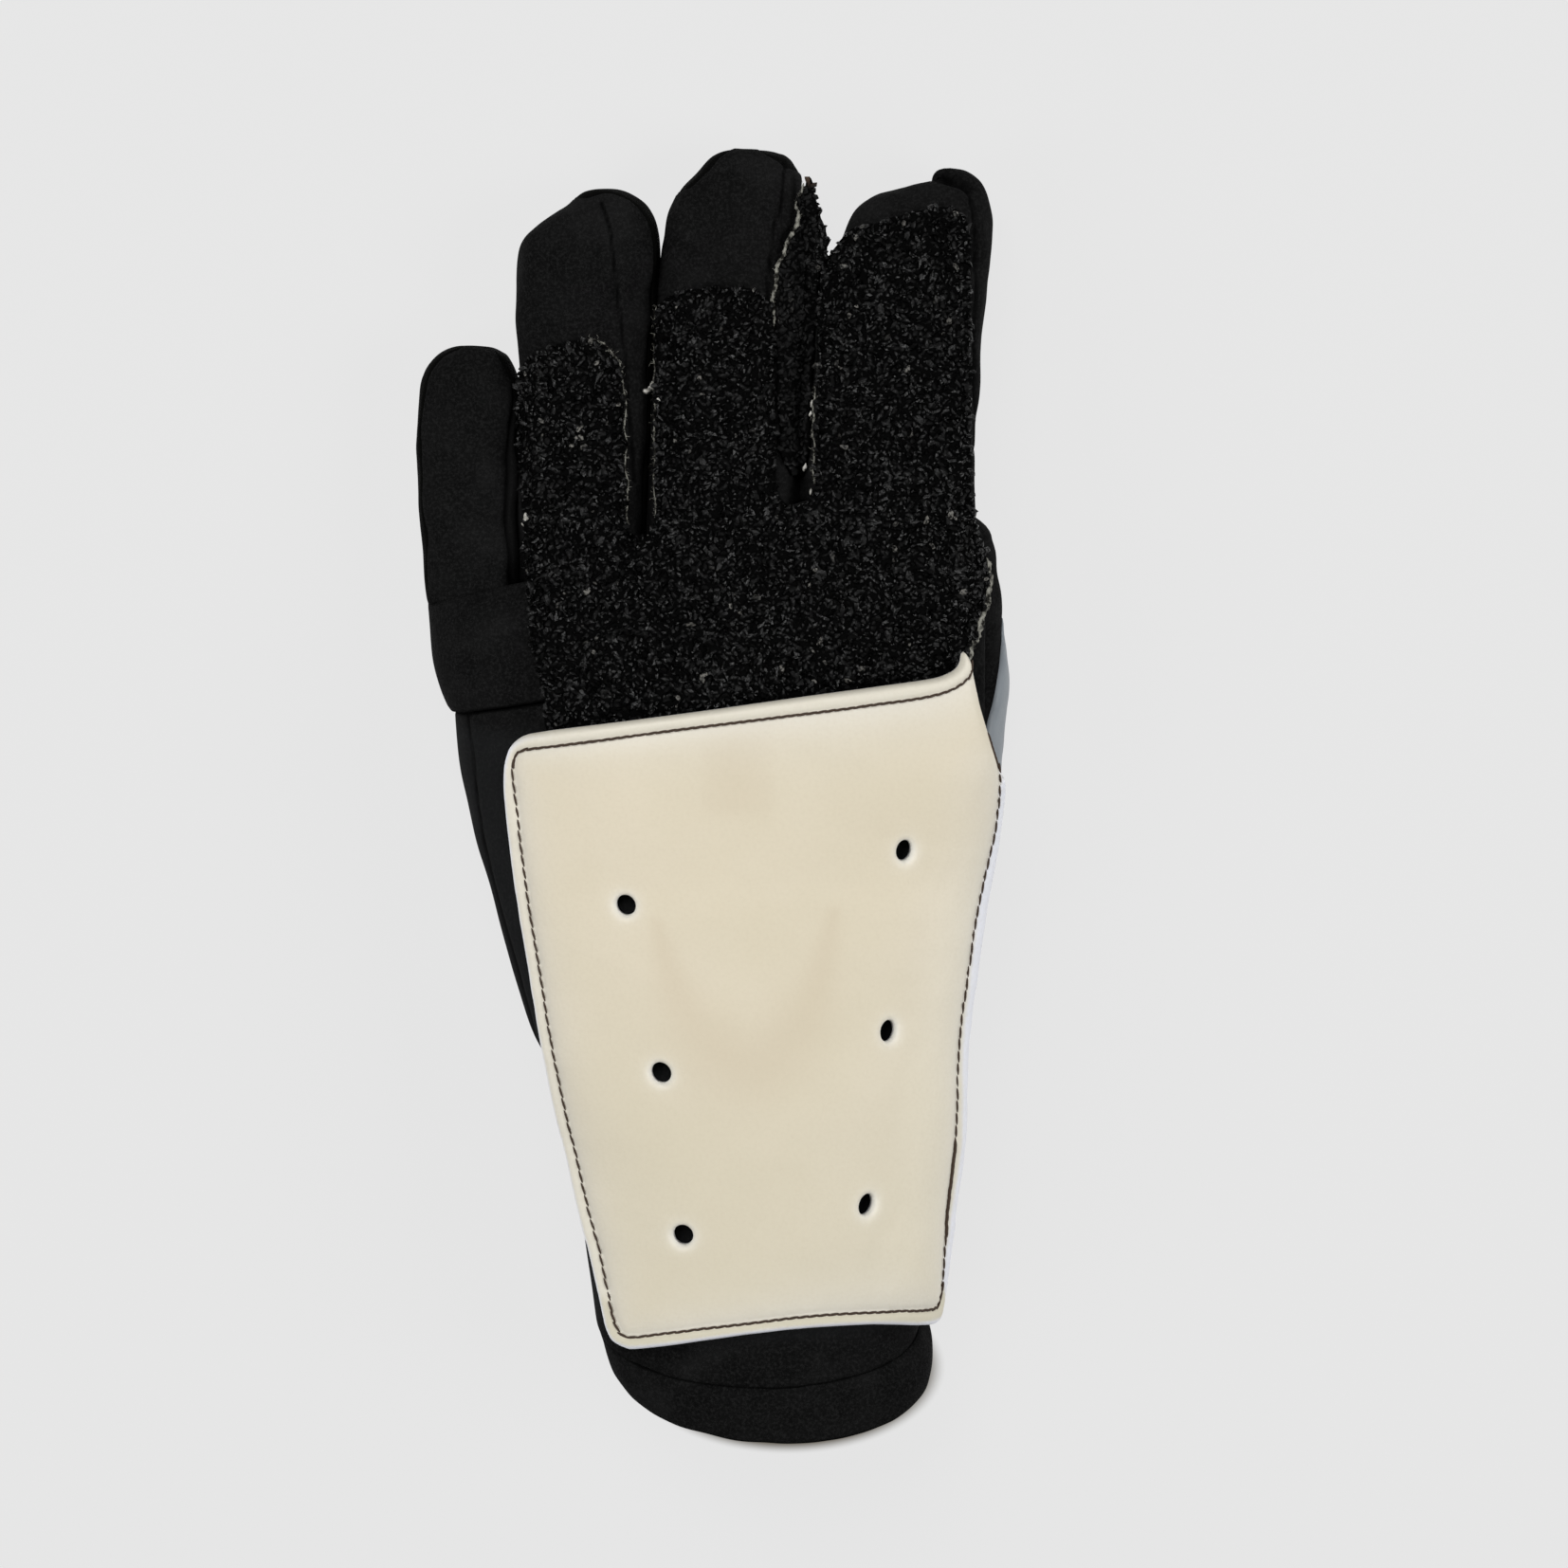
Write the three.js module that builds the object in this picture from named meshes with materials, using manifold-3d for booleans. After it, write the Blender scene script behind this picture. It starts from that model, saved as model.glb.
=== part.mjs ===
// A left-hand shooting glove, lying palm down: fingers to +Y, back of the hand to +Z.
// Millimetres. The origin is the middle of the glove's footprint, on the surface that it lies on.
import * as THREE from "three";
import { mergeVertices } from "three/addons/utils/BufferGeometryUtils.js";
import Module from "manifold-3d";

// Driving sizes
const FABRIC_WALL = 2.2;
const GAP = 0.35;
const GRIP_THICK = 2.2;
const PANEL_THICK = 1.2;
const PLATE_THICK = 3.0;
const HOLE_DIAMETER = 4.6;
const HOLE_REACH = 40;
const FINGER_SIDES = 22;
const BODY_SIDES = 32;
const HOLE_SIDES = 12;
const PIERCE = 1.5; // how far a hollow is cut past an open end

// Heights above which the sheets on the back of the glove are kept
const GRIP_LOWEST = { z: 20.5, perX: 0.08, perY: 0 };
const SIDE_GRIP_LOWEST = { z: 4, perX: 0, perY: 0 };
const THUMB_PANEL_LOWEST = { z: 0, perX: 0, perY: 0 };
const PLATE_LOWEST = { z: 26, perX: 0, perY: 0.08 };
const SKY = 90;

// A row for each section. The left and right ends of its width in plan, then the heights of its
// underside and its back at those two ends. An underside below 0 is flat on the surface. A square
// of 2 is an ellipse and more is boxier. The lean carries the back further from the fingertips.
const SECTION = [
  ["leftX", "leftY", "rightX", "rightY"],
  ["lowLeft", "lowRight", "highLeft", "highRight", "square", "lean"],
].flat();

const LITTLE_FINGER = table(SECTION, [
  [-65.4, 40.7, -43.9, 47.0, -3, 1, 29, 30, 2.8, 0],
  [-66.3, 58.0, -44.3, 60.0, -2, 0, 26, 27, 2.7, 0],
  [-67.1, 74.0, -44.6, 75.0, -2, -1, 24, 25, 2.6, 0],
  [-67.1, 86.0, -44.9, 86.5, -2, -2, 23, 23, 2.5, 0],
]);
const LITTLE_TIP = { x: -56.2, y: 99.4, z: 10.5 };

const RING_FINGER = table(SECTION, [
  [-43.5, 47.2, -15.7, 55.4, 1, 5, 31, 33, 3.0, 0],
  [-43.5, 63.0, -15.5, 66.0, 0, 4, 30, 31, 2.8, 0],
  [-43.9, 80.0, -15.0, 81.5, -1, 1, 28, 29, 2.7, 0],
  [-44.0, 97.0, -14.0, 98.0, -2, -1, 27, 27, 2.6, 0],
  [-43.4, 113.0, -12.5, 113.0, -2, -2, 25, 25, 2.5, 0],
]);
const RING_TIP = { x: -26.0, y: 134.8, z: 11.5 };

const MIDDLE_FINGER = table(SECTION, [
  [-15.2, 55.5, 19.3, 65.7, 4, 10, 34, 36, 3.0, 0],
  [-13.9, 72.0, 18.7, 76.0, 3, 7, 32, 34, 2.8, 0],
  [-13.7, 90.0, 18.9, 92.0, 1, 3, 30, 31, 2.7, 0],
  [-12.2, 108.0, 20.8, 109.0, -1, 0, 28, 28, 2.6, 0],
  [-10.2, 122.0, 21.4, 122.0, -2, -2, 26, 26, 2.5, 0],
]);
const MIDDLE_TIP = { x: 8.0, y: 144.1, z: 12 };

const INDEX_FINGER = table(SECTION, [
  [20.0, 65.9, 58.8, 77.4, 11, 19, 36, 36.5, 3.0, 0],
  [22.6, 84.0, 58.3, 87.0, 7, 12, 34, 35, 2.8, 0],
  [23.6, 100.0, 59.2, 101.5, 3, 5, 31, 32, 2.7, 0],
  [25.9, 116.0, 60.9, 116.0, -1, 0, 28, 28, 2.5, 0],
]);
const INDEX_TIP = { x: 49.0, y: 138.0, z: 12 };

const THUMB = table(SECTION, [
  [25.0, -39.0, 48.0, -44.0, 7, 7, 27, 27, 2.2, 0],
  [33.0, -16.0, 61.0, -20.0, -1, -1, 24, 24, 2.3, 0],
  [38.0, 0.0, 64.6, -1.0, -2, -2, 22, 22, 2.4, 0],
  [39.2, 19.0, 65.5, 19.0, -2, -2, 22, 22, 2.4, 0],
  [38.4, 33.6, 64.2, 38.6, -2, -2, 21.5, 21.5, 2.4, 0],
  [36.4, 44.4, 60.0, 56.2, -2, -2, 20, 20, 2.4, 0],
  [31.6, 53.4, 50.6, 68.4, -2, -2, 17.5, 17.5, 2.4, 0],
]);
const THUMB_TIP = { x: 32.5, y: 69.0, z: 8 };

const HAND = table(SECTION, [
  [-65.4, 40.3, 58.9, 77.0, -13, 19, 32.5, 38.5, 3.4, 0],
  [-64.6, 36.0, 59.6, 64.0, -16, 22, 38, 39.5, 3.0, 0],
  [-62.5, 29.5, 60.2, 52.0, -16, 22, 42, 40, 2.7, 0],
  [-58.2, 17.9, 60.4, 41.0, -16, 22, 45, 40, 2.4, 0],
]);

const GAUNTLET = table(SECTION, [
  [-58.0, 17.5, 60.4, 40.6, -16, 22, 45, 40, 2.4, 0],
  [-56.8, 6.0, 60.6, 22.0, -14, 22, 47.5, 40, 2.3, 0],
  [-55.1, -3.0, 60.4, 4.0, -12, 19, 49.5, 41, 2.2, 0],
  [-50.2, -21.0, 58.2, -18.0, -8, 12, 51.5, 42.5, 2.1, 0],
  [-45.2, -39.0, 54.3, -38.0, -5, 4, 52.5, 44.5, 2.1, 0],
  [-40.0, -56.5, 51.3, -57.0, -3, 0, 53, 46.5, 2.1, 0],
  [-31.8, -78.0, 49.6, -79.0, -3, -3, 53.5, 48, 2.1, 1],
  [-30.2, -99.5, 48.0, -99.5, -3, -3, 53.5, 49.5, 2.1, 5],
  [-27.6, -121.6, 47.6, -121.6, -3, -3, 53.5, 51, 2.1, 10.9],
]);

const CUFF_BAND = table(SECTION, [
  [-27.5, -122.0, 47.7, -122.0, -3, -3, 53.5, 51, 2.1, 10.9],
  [-26.3, -127.0, 50.0, -127.0, -3, -3, 54, 51.5, 2.1, 12.2],
  [-25.6, -131.2, 50.2, -131.2, -3, -3, 52.5, 50.5, 2.1, 12.9],
]);

// The curved form that the plate is bent over, a little clear of the wrist and of the grip's lower edge
const PLATE_FORM = table(SECTION, [
  [-65.0, 52.0, 63.6, 52.0, -10, 22, 49, 45, 2.4, 0],
  [-63.0, 22.0, 63.2, 22.0, -10, 21, 51.4, 45.4, 2.3, 0],
  [-60.0, 6.0, 61.9, 6.0, -10, 18, 52.4, 44.6, 2.2, 0],
  [-55.0, -18.0, 60.0, -18.0, -8, 11, 53, 44.2, 2.1, 0],
  [-50.0, -38.0, 56.3, -38.0, -5, 3, 53.8, 46, 2.1, 0],
  [-46.0, -57.0, 53.3, -57.0, -3, -1, 54.2, 48, 2.1, 0],
  [-41.0, -79.0, 51.2, -79.0, -3, -3, 54.6, 49.6, 2.1, 0],
  [-38.5, -99.5, 49.4, -99.5, -3, -3, 54.6, 51, 2.1, 0],
  [-38.0, -126.0, 48.2, -126.0, -3, -3, 54.6, 52.4, 2.1, 0],
]);

// The form that the strip beside the middle finger follows. It runs straight on past the finger's tip.
const SIDE_FORM = table(SECTION, [
  [-13.9, 62.0, 18.7, 66.0, 4, 8, 33, 35, 2.8, 0],
  [-13.7, 90.0, 18.9, 92.0, 1, 3, 30, 31, 2.7, 0],
  [-13.2, 108.0, 20.8, 109.0, -1, 0, 28, 28, 2.6, 0],
  [-11.3, 122.0, 21.4, 122.0, -2, -2, 26, 26, 2.5, 0],
  [-9.0, 139.0, 19.6, 139.0, -2, -2, 24, 24, 2.5, 0],
]);

// Outlines in plan, as corners of smooth or straight stretches
const POINT = ["x", "y"];
const GRIP_LEFT = table(POINT, [[-36.0, 8.5], [-37.6, 24], [-40.6, 40], [-42.2, 62], [-43.4, 80], [-43.4, 92]]);
const GRIP_RING_TOP = table(POINT, [[-42.4, 95.5], [-38, 99], [-31, 101.2], [-25.4, 100.6], [-21.4, 96.5], [-20.2, 90]]);
const GRIP_MIDDLE_TOP = table(POINT, [[-13.4, 104], [-12, 108.6], [-7, 111.8], [2, 113], [9, 112.2], [13, 109.6]]);
const GRIP_INDEX_TOP = table(POINT, [[27.2, 119.5], [31, 125.6], [38, 127.4], [46, 130], [52, 130.4], [56.6, 127.4], [58, 121]]);
const GRIP_RIGHT = table(POINT, [[57.7, 100], [57.6, 84], [59.2, 64], [62.6, 54], [63.0, 47], [60.6, 38], [58.4, 25.5]]);
const SLOT_RING = { left: -19.6, right: -13.7, bottom: 58 };
const SLOT_MIDDLE = { left: 14.6, right: 21.6, bottom: 67 };
const SIDE_STRIP = table(POINT, [
  [17.4, 67.6], [15.0, 78], [13.9, 98], [14.6, 112], [16.8, 126], [19.4, 134.6],
  [21.6, 138.4], [24.6, 128], [25.4, 116], [23.4, 98], [22.2, 80], [20.8, 68.6],
]);

const PLATE_CORNER = 6;
const PLATE_OUTLINE = {
  topLeft: { x: -47.0, y: 15.0 },
  bottomLeft: { x: -23.8, y: -122.8 },
  bottomRight: { x: 51.8, y: -116.2 },
  side: { x: 72, y: -116.2 },
  shoulder: { x: 72, y: 5 },
  edge: { x: 64.6, y: 9 },
  topRight: { x: 57.8, y: 30.4 },
  nub: { x: 55.2, y: 33.4 },
};

// Through holes in the plate, and how far the top of each one's axis leans to the right, in degrees
const HOLES = table(["x", "y", "lean"], [
  [-19.6, -22.0, -8],
  [-12.0, -59.6, -6],
  [-7.2, -96.4, -4],
  [42.6, -9.8, 22],
  [39.2, -50.2, 22],
  [34.4, -89.4, 20],
]);

// The smooth panel on the thumb's outer side, cut along this line in plan
const THUMB_PANEL_EDGE = table(POINT, [[61.2, -15], [60.4, 4], [61.2, 15], [63.0, 24], [65.0, 34], [67.2, 43]]);

const BLACK_FABRIC = finish("black_fabric", 0x17171a, 0.92);
const BLACK_GRIP = finish("black_rubber_crumb", 0x101011, 0.55);
const CREAM_PLATE = finish("cream_plate", 0xddd3bc, 0.62);
const GREY_PANEL = finish("grey_panel", 0x98a6b5, 0.6);

function table(columns, rows) {
  return rows.map((row) => Object.fromEntries(columns.map((name, i) => [name, row[i]])));
}

function finish(name, color, roughness) {
  const material = new THREE.MeshStandardMaterial({ color, roughness, metalness: 0 });
  material.name = name;
  return material;
}

const wasm = await Module();
wasm.setup();

function solidOf(points, faces) {
  return new wasm.Manifold(
    new wasm.Mesh({
      numProp: 3,
      vertProperties: Float32Array.from(points.flat()),
      triVerts: Uint32Array.from(faces.flat()),
    }),
  );
}

function solidFromGeometry(geometry) {
  const bare = new THREE.BufferGeometry().setAttribute("position", geometry.getAttribute("position"));
  if (geometry.index) bare.setIndex(geometry.index);
  const merged = mergeVertices(bare, 1e-4);
  return new wasm.Manifold(
    new wasm.Mesh({
      numProp: 3,
      vertProperties: merged.attributes.position.array,
      triVerts: Uint32Array.from(merged.index.array),
    }),
  );
}

const lerp = THREE.MathUtils.lerp;

// A table row as the middle, direction and half width of a section
function sectionOf(row) {
  const half = Math.hypot(row.rightX - row.leftX, row.rightY - row.leftY) / 2;
  return {
    ...row,
    x: (row.leftX + row.rightX) / 2,
    y: (row.leftY + row.rightY) / 2,
    acrossX: (row.rightX - row.leftX) / (2 * half),
    acrossY: (row.rightY - row.leftY) / (2 * half),
    half,
  };
}

// The points round one section, grown outwards by a distance or shrunk where it is negative
function ring(section, { sides, grow, along }) {
  const floor = Math.max(0, -grow);
  const bulge = (value) => Math.sign(value) * Math.abs(value) ** (2 / section.square);
  const half = section.half + grow;
  return Array.from({ length: sides }, (_, i) => {
    const angle = (2 * Math.PI * i) / sides;
    const u = bulge(Math.cos(angle));
    const v = bulge(Math.sin(angle));
    const share = (u + 1) / 2;
    const low = lerp(section.lowLeft, section.lowRight, share) - grow;
    const high = lerp(section.highLeft, section.highRight, share) + grow;
    return [
      section.x + section.acrossX * half * u - section.acrossY * along,
      section.y + section.acrossY * half * u + section.acrossX * along - section.lean * v,
      Math.max(floor, (low + high) / 2 + ((high - low) / 2) * v),
    ];
  });
}

// The rings of a rounded fingertip: how far along it each lies, as a share of its length
const TIP_STEPS = [0.4, 0.68, 0.87, 0.97];
const TIP_ROUND = 2.5;

function tipSections(shoulder, tip) {
  return TIP_STEPS.map((t) => {
    const size = (1 - t ** TIP_ROUND) ** (1 / TIP_ROUND);
    const towards = (height) => lerp(tip.z, height, size);
    return {
      ...shoulder,
      x: lerp(shoulder.x, tip.x, t),
      y: lerp(shoulder.y, tip.y, t),
      half: shoulder.half * size,
      size,
      lowLeft: towards(shoulder.lowLeft),
      lowRight: towards(shoulder.lowRight),
      highLeft: towards(shoulder.highLeft),
      highRight: towards(shoulder.highRight),
    };
  });
}

// A closed solid lofted through a table's sections. Grown, it is larger all round; a negative
// growth gives its hollow. Its ends are moved outwards by before and after.
function loft(rows, { sides = BODY_SIDES, grow = 0, before = 0, after = 0, tip = null }) {
  const sections = rows.map(sectionOf);
  const last = sections[sections.length - 1];
  const domed = tip ? tipSections(last, tip) : [];
  const forwards = last.y > sections[0].y ? 1 : -1;
  const style = { sides, grow };
  const rings = sections.map((section) => ring(section, { ...style, along: 0 }));
  if (before) rings.unshift(ring(sections[0], { ...style, along: -forwards * before }));
  if (after && !tip) rings.push(ring(last, { ...style, along: forwards * after }));
  domed.forEach((section, i) => {
    const along = grow * TIP_STEPS[i];
    rings.push(ring(section, { ...style, grow: grow * section.size, along }));
  });
  const points = rings.flat();
  const first = points.length;
  const centre = (loop) => [0, 1, 2].map((k) => loop.reduce((sum, p) => sum + p[k], 0) / sides);
  points.push(centre(rings[0]));
  points.push(tip ? tipPoint(last, tip, grow) : centre(rings[rings.length - 1]));
  const faces = [];
  for (let i = 0; i < sides; i++) {
    const next = (i + 1) % sides;
    faces.push([first, i, next]);
    for (let k = 0; k + 1 < rings.length; k++) {
      const [a, b, c, d] = [k * sides + i, k * sides + next, (k + 1) * sides + next, (k + 1) * sides + i];
      faces.push([a, d, c], [a, c, b]);
    }
    const top = (rings.length - 1) * sides;
    faces.push([first + 1, top + next, top + i]);
  }
  const turned = forwards > 0 ? faces : faces.map(([a, b, c]) => [a, c, b]);
  return solidOf(points, turned);
}

function tipPoint(last, tip, grow) {
  const reach = Math.hypot(tip.x - last.x, tip.y - last.y);
  const share = (reach + grow) / reach;
  return [lerp(last.x, tip.x, share), lerp(last.y, tip.y, share), tip.z];
}

const sides = FINGER_SIDES;
const little = (more) => loft(LITTLE_FINGER, { sides, tip: LITTLE_TIP, ...more });
const ringFinger = (more) => loft(RING_FINGER, { sides, tip: RING_TIP, ...more });
const middle = (more) => loft(MIDDLE_FINGER, { sides, tip: MIDDLE_TIP, ...more });
const index = (more) => loft(INDEX_FINGER, { sides, tip: INDEX_TIP, ...more });
const thumb = (more) => loft(THUMB, { sides, tip: THUMB_TIP, ...more });
const hand = (more) => loft(HAND, more);
const gauntlet = (more) => loft(GAUNTLET, more);
const cuffBand = (more) => loft(CUFF_BAND, more);
const plateForm = (more) => loft(PLATE_FORM, more);
const sideForm = (more) => loft(SIDE_FORM, { sides, ...more });

const openEnds = { grow: -FABRIC_WALL, before: PIERCE, after: PIERCE };
const fabricShell = (form) => form({}).subtract(form(openEnds));

// An upright prism over an outline in plan
function prism(shape, lowest) {
  const geometry = new THREE.ExtrudeGeometry(shape, { depth: SKY, bevelEnabled: false, curveSegments: 4 });
  geometry.applyMatrix4(new THREE.Matrix4().makeShear(0, lowest.perX, 0, lowest.perY, 0, 0));
  geometry.translate(0, 0, lowest.z);
  return solidFromGeometry(geometry);
}

const vectors = (points) => points.map((p) => new THREE.Vector2(p.x, p.y));

function smoothThrough(shape, points) {
  shape.lineTo(points[0].x, points[0].y);
  shape.splineThru(vectors(points.slice(1)));
}

function slot(shape, { left, right, bottom }) {
  const radius = (right - left) / 2;
  shape.lineTo(left, bottom + radius);
  shape.absarc(left + radius, bottom + radius, radius, Math.PI, 2 * Math.PI, false);
}

function gripOutline() {
  const shape = new THREE.Shape();
  shape.moveTo(GRIP_LEFT[0].x, GRIP_LEFT[0].y);
  shape.splineThru(vectors(GRIP_LEFT.slice(1)));
  smoothThrough(shape, GRIP_RING_TOP);
  slot(shape, SLOT_RING);
  smoothThrough(shape, GRIP_MIDDLE_TOP);
  slot(shape, SLOT_MIDDLE);
  smoothThrough(shape, GRIP_INDEX_TOP);
  smoothThrough(shape, GRIP_RIGHT);
  return shape;
}

// A line to a corner that is rounded off, a radius short of it on both sides
function roundedCorner(shape, before, corner, after, radius) {
  const into = new THREE.Vector2(before.x - corner.x, before.y - corner.y).setLength(radius);
  const out = new THREE.Vector2(after.x - corner.x, after.y - corner.y).setLength(radius);
  shape.lineTo(corner.x + into.x, corner.y + into.y);
  shape.quadraticCurveTo(corner.x, corner.y, corner.x + out.x, corner.y + out.y);
}

function plateOutline() {
  const { topLeft, bottomLeft, bottomRight, side, shoulder, edge, topRight, nub } = PLATE_OUTLINE;
  const shape = new THREE.Shape();
  shape.moveTo((topLeft.x + bottomLeft.x) / 2, (topLeft.y + bottomLeft.y) / 2);
  roundedCorner(shape, topLeft, bottomLeft, bottomRight, PLATE_CORNER);
  shape.lineTo(bottomRight.x, bottomRight.y);
  shape.lineTo(side.x, side.y);
  shape.lineTo(shoulder.x, shoulder.y);
  shape.lineTo(edge.x, edge.y);
  shape.lineTo(topRight.x, topRight.y);
  shape.lineTo(nub.x, nub.y);
  roundedCorner(shape, nub, topLeft, bottomLeft, PLATE_CORNER);
  return shape;
}

function hole({ x, y, lean }) {
  const cylinder = new THREE.CylinderGeometry(HOLE_DIAMETER / 2, HOLE_DIAMETER / 2, HOLE_REACH, HOLE_SIDES);
  cylinder.rotateX(Math.PI / 2);
  cylinder.rotateY(THREE.MathUtils.degToRad(lean));
  cylinder.translate(x, y, plateHeight(x, y));
  return solidFromGeometry(cylinder);
}

// The height of the plate's underside over a point in plan
function plateHeight(x, y) {
  const after = PLATE_FORM.findIndex((row) => row.leftY < y);
  const [a, b] = [PLATE_FORM[after - 1], PLATE_FORM[after]];
  const share = (a.leftY - y) / (a.leftY - b.leftY);
  const at = (name) => lerp(a[name], b[name], share);
  const u = (2 * x - at("leftX") - at("rightX")) / (at("rightX") - at("leftX"));
  const low = lerp(at("lowLeft"), at("lowRight"), (u + 1) / 2);
  const high = lerp(at("highLeft"), at("highRight"), (u + 1) / 2);
  const v = (1 - Math.abs(u) ** at("square")) ** (1 / at("square"));
  return (low + high) / 2 + ((high - low) / 2) * v;
}

function union(solids) {
  return solids.reduce((sum, solid) => sum.add(solid));
}

// A sheet of even thickness on top of the forms, with a small gap under it
function sheetOver(forms, thick, region) {
  const outside = union(forms.map((form) => form({ grow: GAP + thick, before: PIERCE, after: PIERCE })));
  const inside = union(forms.map((form) => form({ grow: GAP, before: 2 * PIERCE, after: 2 * PIERCE })));
  return outside.subtract(inside).intersect(region);
}

function makeGripPanel() {
  const forms = [ringFinger, middle, index, hand, gauntlet];
  return sheetOver(forms, GRIP_THICK, prism(gripOutline(), GRIP_LOWEST));
}

function makeSideGrip() {
  const shape = new THREE.Shape();
  shape.moveTo(SIDE_STRIP[0].x, SIDE_STRIP[0].y);
  shape.splineThru(vectors(SIDE_STRIP.slice(1)));
  const strip = sheetOver([sideForm], GRIP_THICK, prism(shape, SIDE_GRIP_LOWEST));
  return strip.subtract(middle({ grow: GAP })).subtract(index({ grow: GAP })).subtract(hand({ grow: GAP }));
}

function makePlate() {
  const outside = plateForm({ grow: PLATE_THICK });
  const inside = plateForm({ grow: 0, before: PIERCE, after: PIERCE });
  const blank = outside.subtract(inside).intersect(prism(plateOutline(), PLATE_LOWEST));
  return HOLES.reduce((plate, place) => plate.subtract(hole(place)), blank);
}

function makeThumb() {
  const whole = thumb({}).subtract(thumb({ grow: -FABRIC_WALL, before: PIERCE }));
  return whole.subtract(gauntlet({ grow: GAP })).subtract(hand({ grow: GAP }));
}

function makeThumbPanel() {
  const shape = new THREE.Shape();
  shape.moveTo(THUMB_PANEL_EDGE[0].x, THUMB_PANEL_EDGE[0].y);
  shape.splineThru(vectors(THUMB_PANEL_EDGE.slice(1)));
  shape.lineTo(80, 43);
  shape.lineTo(80, -15);
  const skin = thumb({ grow: GAP + PANEL_THICK }).subtract(thumb({ grow: GAP }));
  const clear = skin.subtract(gauntlet({ grow: GAP })).subtract(hand({ grow: GAP }));
  return clear.intersect(prism(shape, THUMB_PANEL_LOWEST));
}

function makeGauntlet() {
  return fabricShell(gauntlet).subtract(thumb({ grow: -FABRIC_WALL }));
}

function biggest(solid) {
  return solid.decompose().reduce((best, body) => (body.volume() > best.volume() ? body : best));
}

// A named mesh of the biggest body of a solid, without the crumbs that a cut can leave
function meshOf(name, solid, material) {
  const made = biggest(solid).getMesh();
  const geometry = new THREE.BufferGeometry();
  geometry.setAttribute("position", new THREE.BufferAttribute(Float32Array.from(made.vertProperties), 3));
  geometry.setIndex(new THREE.BufferAttribute(Uint32Array.from(made.triVerts), 1));
  geometry.computeVertexNormals();
  const mesh = new THREE.Mesh(geometry, material);
  mesh.name = name;
  return mesh;
}

const glove = new THREE.Group();
glove.add(
  meshOf("finger_little", fabricShell(little), BLACK_FABRIC),
  meshOf("finger_ring", fabricShell(ringFinger), BLACK_FABRIC),
  meshOf("finger_middle", fabricShell(middle), BLACK_FABRIC),
  meshOf("finger_index", fabricShell(index), BLACK_FABRIC),
  meshOf("thumb", makeThumb(), BLACK_FABRIC),
  meshOf("thumb_panel", makeThumbPanel(), GREY_PANEL),
  meshOf("hand", fabricShell(hand), BLACK_FABRIC),
  meshOf("gauntlet", makeGauntlet(), BLACK_FABRIC),
  meshOf("cuff_band", fabricShell(cuffBand), BLACK_FABRIC),
  meshOf("grip_panel", makeGripPanel(), BLACK_GRIP),
  meshOf("side_grip", makeSideGrip(), BLACK_GRIP),
  meshOf("wrist_plate", makePlate(), CREAM_PLATE),
);

export default glove;
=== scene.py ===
"""A left-hand shooting glove lying palm down: black fabric, rubber-crumb grip and a cream wrist plate."""

import math

import bmesh
import bpy
import numpy as np
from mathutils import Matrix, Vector
from mathutils.bvhtree import BVHTree
from mathutils.geometry import delaunay_2d_cdt
from mathutils.kdtree import KDTree


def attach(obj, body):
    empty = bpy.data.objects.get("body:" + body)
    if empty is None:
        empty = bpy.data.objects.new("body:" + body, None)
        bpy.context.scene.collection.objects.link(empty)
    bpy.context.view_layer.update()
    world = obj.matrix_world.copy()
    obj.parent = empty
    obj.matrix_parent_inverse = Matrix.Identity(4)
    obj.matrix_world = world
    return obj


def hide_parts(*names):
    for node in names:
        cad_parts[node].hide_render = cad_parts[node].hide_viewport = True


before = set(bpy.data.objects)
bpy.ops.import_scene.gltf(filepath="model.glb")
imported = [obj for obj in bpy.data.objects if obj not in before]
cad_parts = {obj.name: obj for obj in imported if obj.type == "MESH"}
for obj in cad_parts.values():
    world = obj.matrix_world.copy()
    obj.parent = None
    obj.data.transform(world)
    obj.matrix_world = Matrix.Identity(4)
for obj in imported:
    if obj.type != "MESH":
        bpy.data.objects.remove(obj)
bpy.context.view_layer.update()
BODY = "root"
MM = 0.001
TOP = math.pi / 2
# A height above the whole glove, from which rays are cast straight down
ABOVE, DOWN = 120.0, (0, 0, -1)
# What stands for a distance to a seam where there is none near
NO_SEAM = 9.0

# Curves and noise


def length_along(line):
    """How far along a line each of its points is."""
    return np.r_[0, np.cumsum(np.linalg.norm(np.diff(line, axis=0), axis=1))]


def read_at(places, known, rows):
    """Rows of numbers read at places between the known ones."""
    return np.stack([np.interp(places, known, column) for column in np.asarray(rows).T], axis=1)


def unit(ways):
    """The same directions, each 1 long."""
    return ways / np.maximum(np.linalg.norm(ways, axis=-1, keepdims=True), 1e-9)


def smooth_curve(points, count):
    """Points evenly spaced along a smooth curve through the given ones."""
    p = np.asarray(points, float)
    ends = np.vstack([2 * p[0] - p[1], p, 2 * p[-1] - p[-2]])
    t = np.linspace(0, 1, 21)[:-1, None]
    spans = [
        b + 0.5 * t * (c - a + t * (2 * a - 5 * b + 4 * c - d + t * (3 * (b - c) + d - a)))
        for a, b, c, d in zip(ends, ends[1:], ends[2:], ends[3:])
    ]
    fine = np.vstack([*spans, p[-1:]])
    far = length_along(fine[:, :2])
    return read_at(np.linspace(0, far[-1], count), far, fine)


def evenly_round(loop, spacing):
    """Evenly spaced points along a line that ends where it starts, each place once."""
    far = length_along(loop)
    return read_at(np.linspace(0, far[-1], int(far[-1] / spacing) + 1)[:-1], far, loop)


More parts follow.
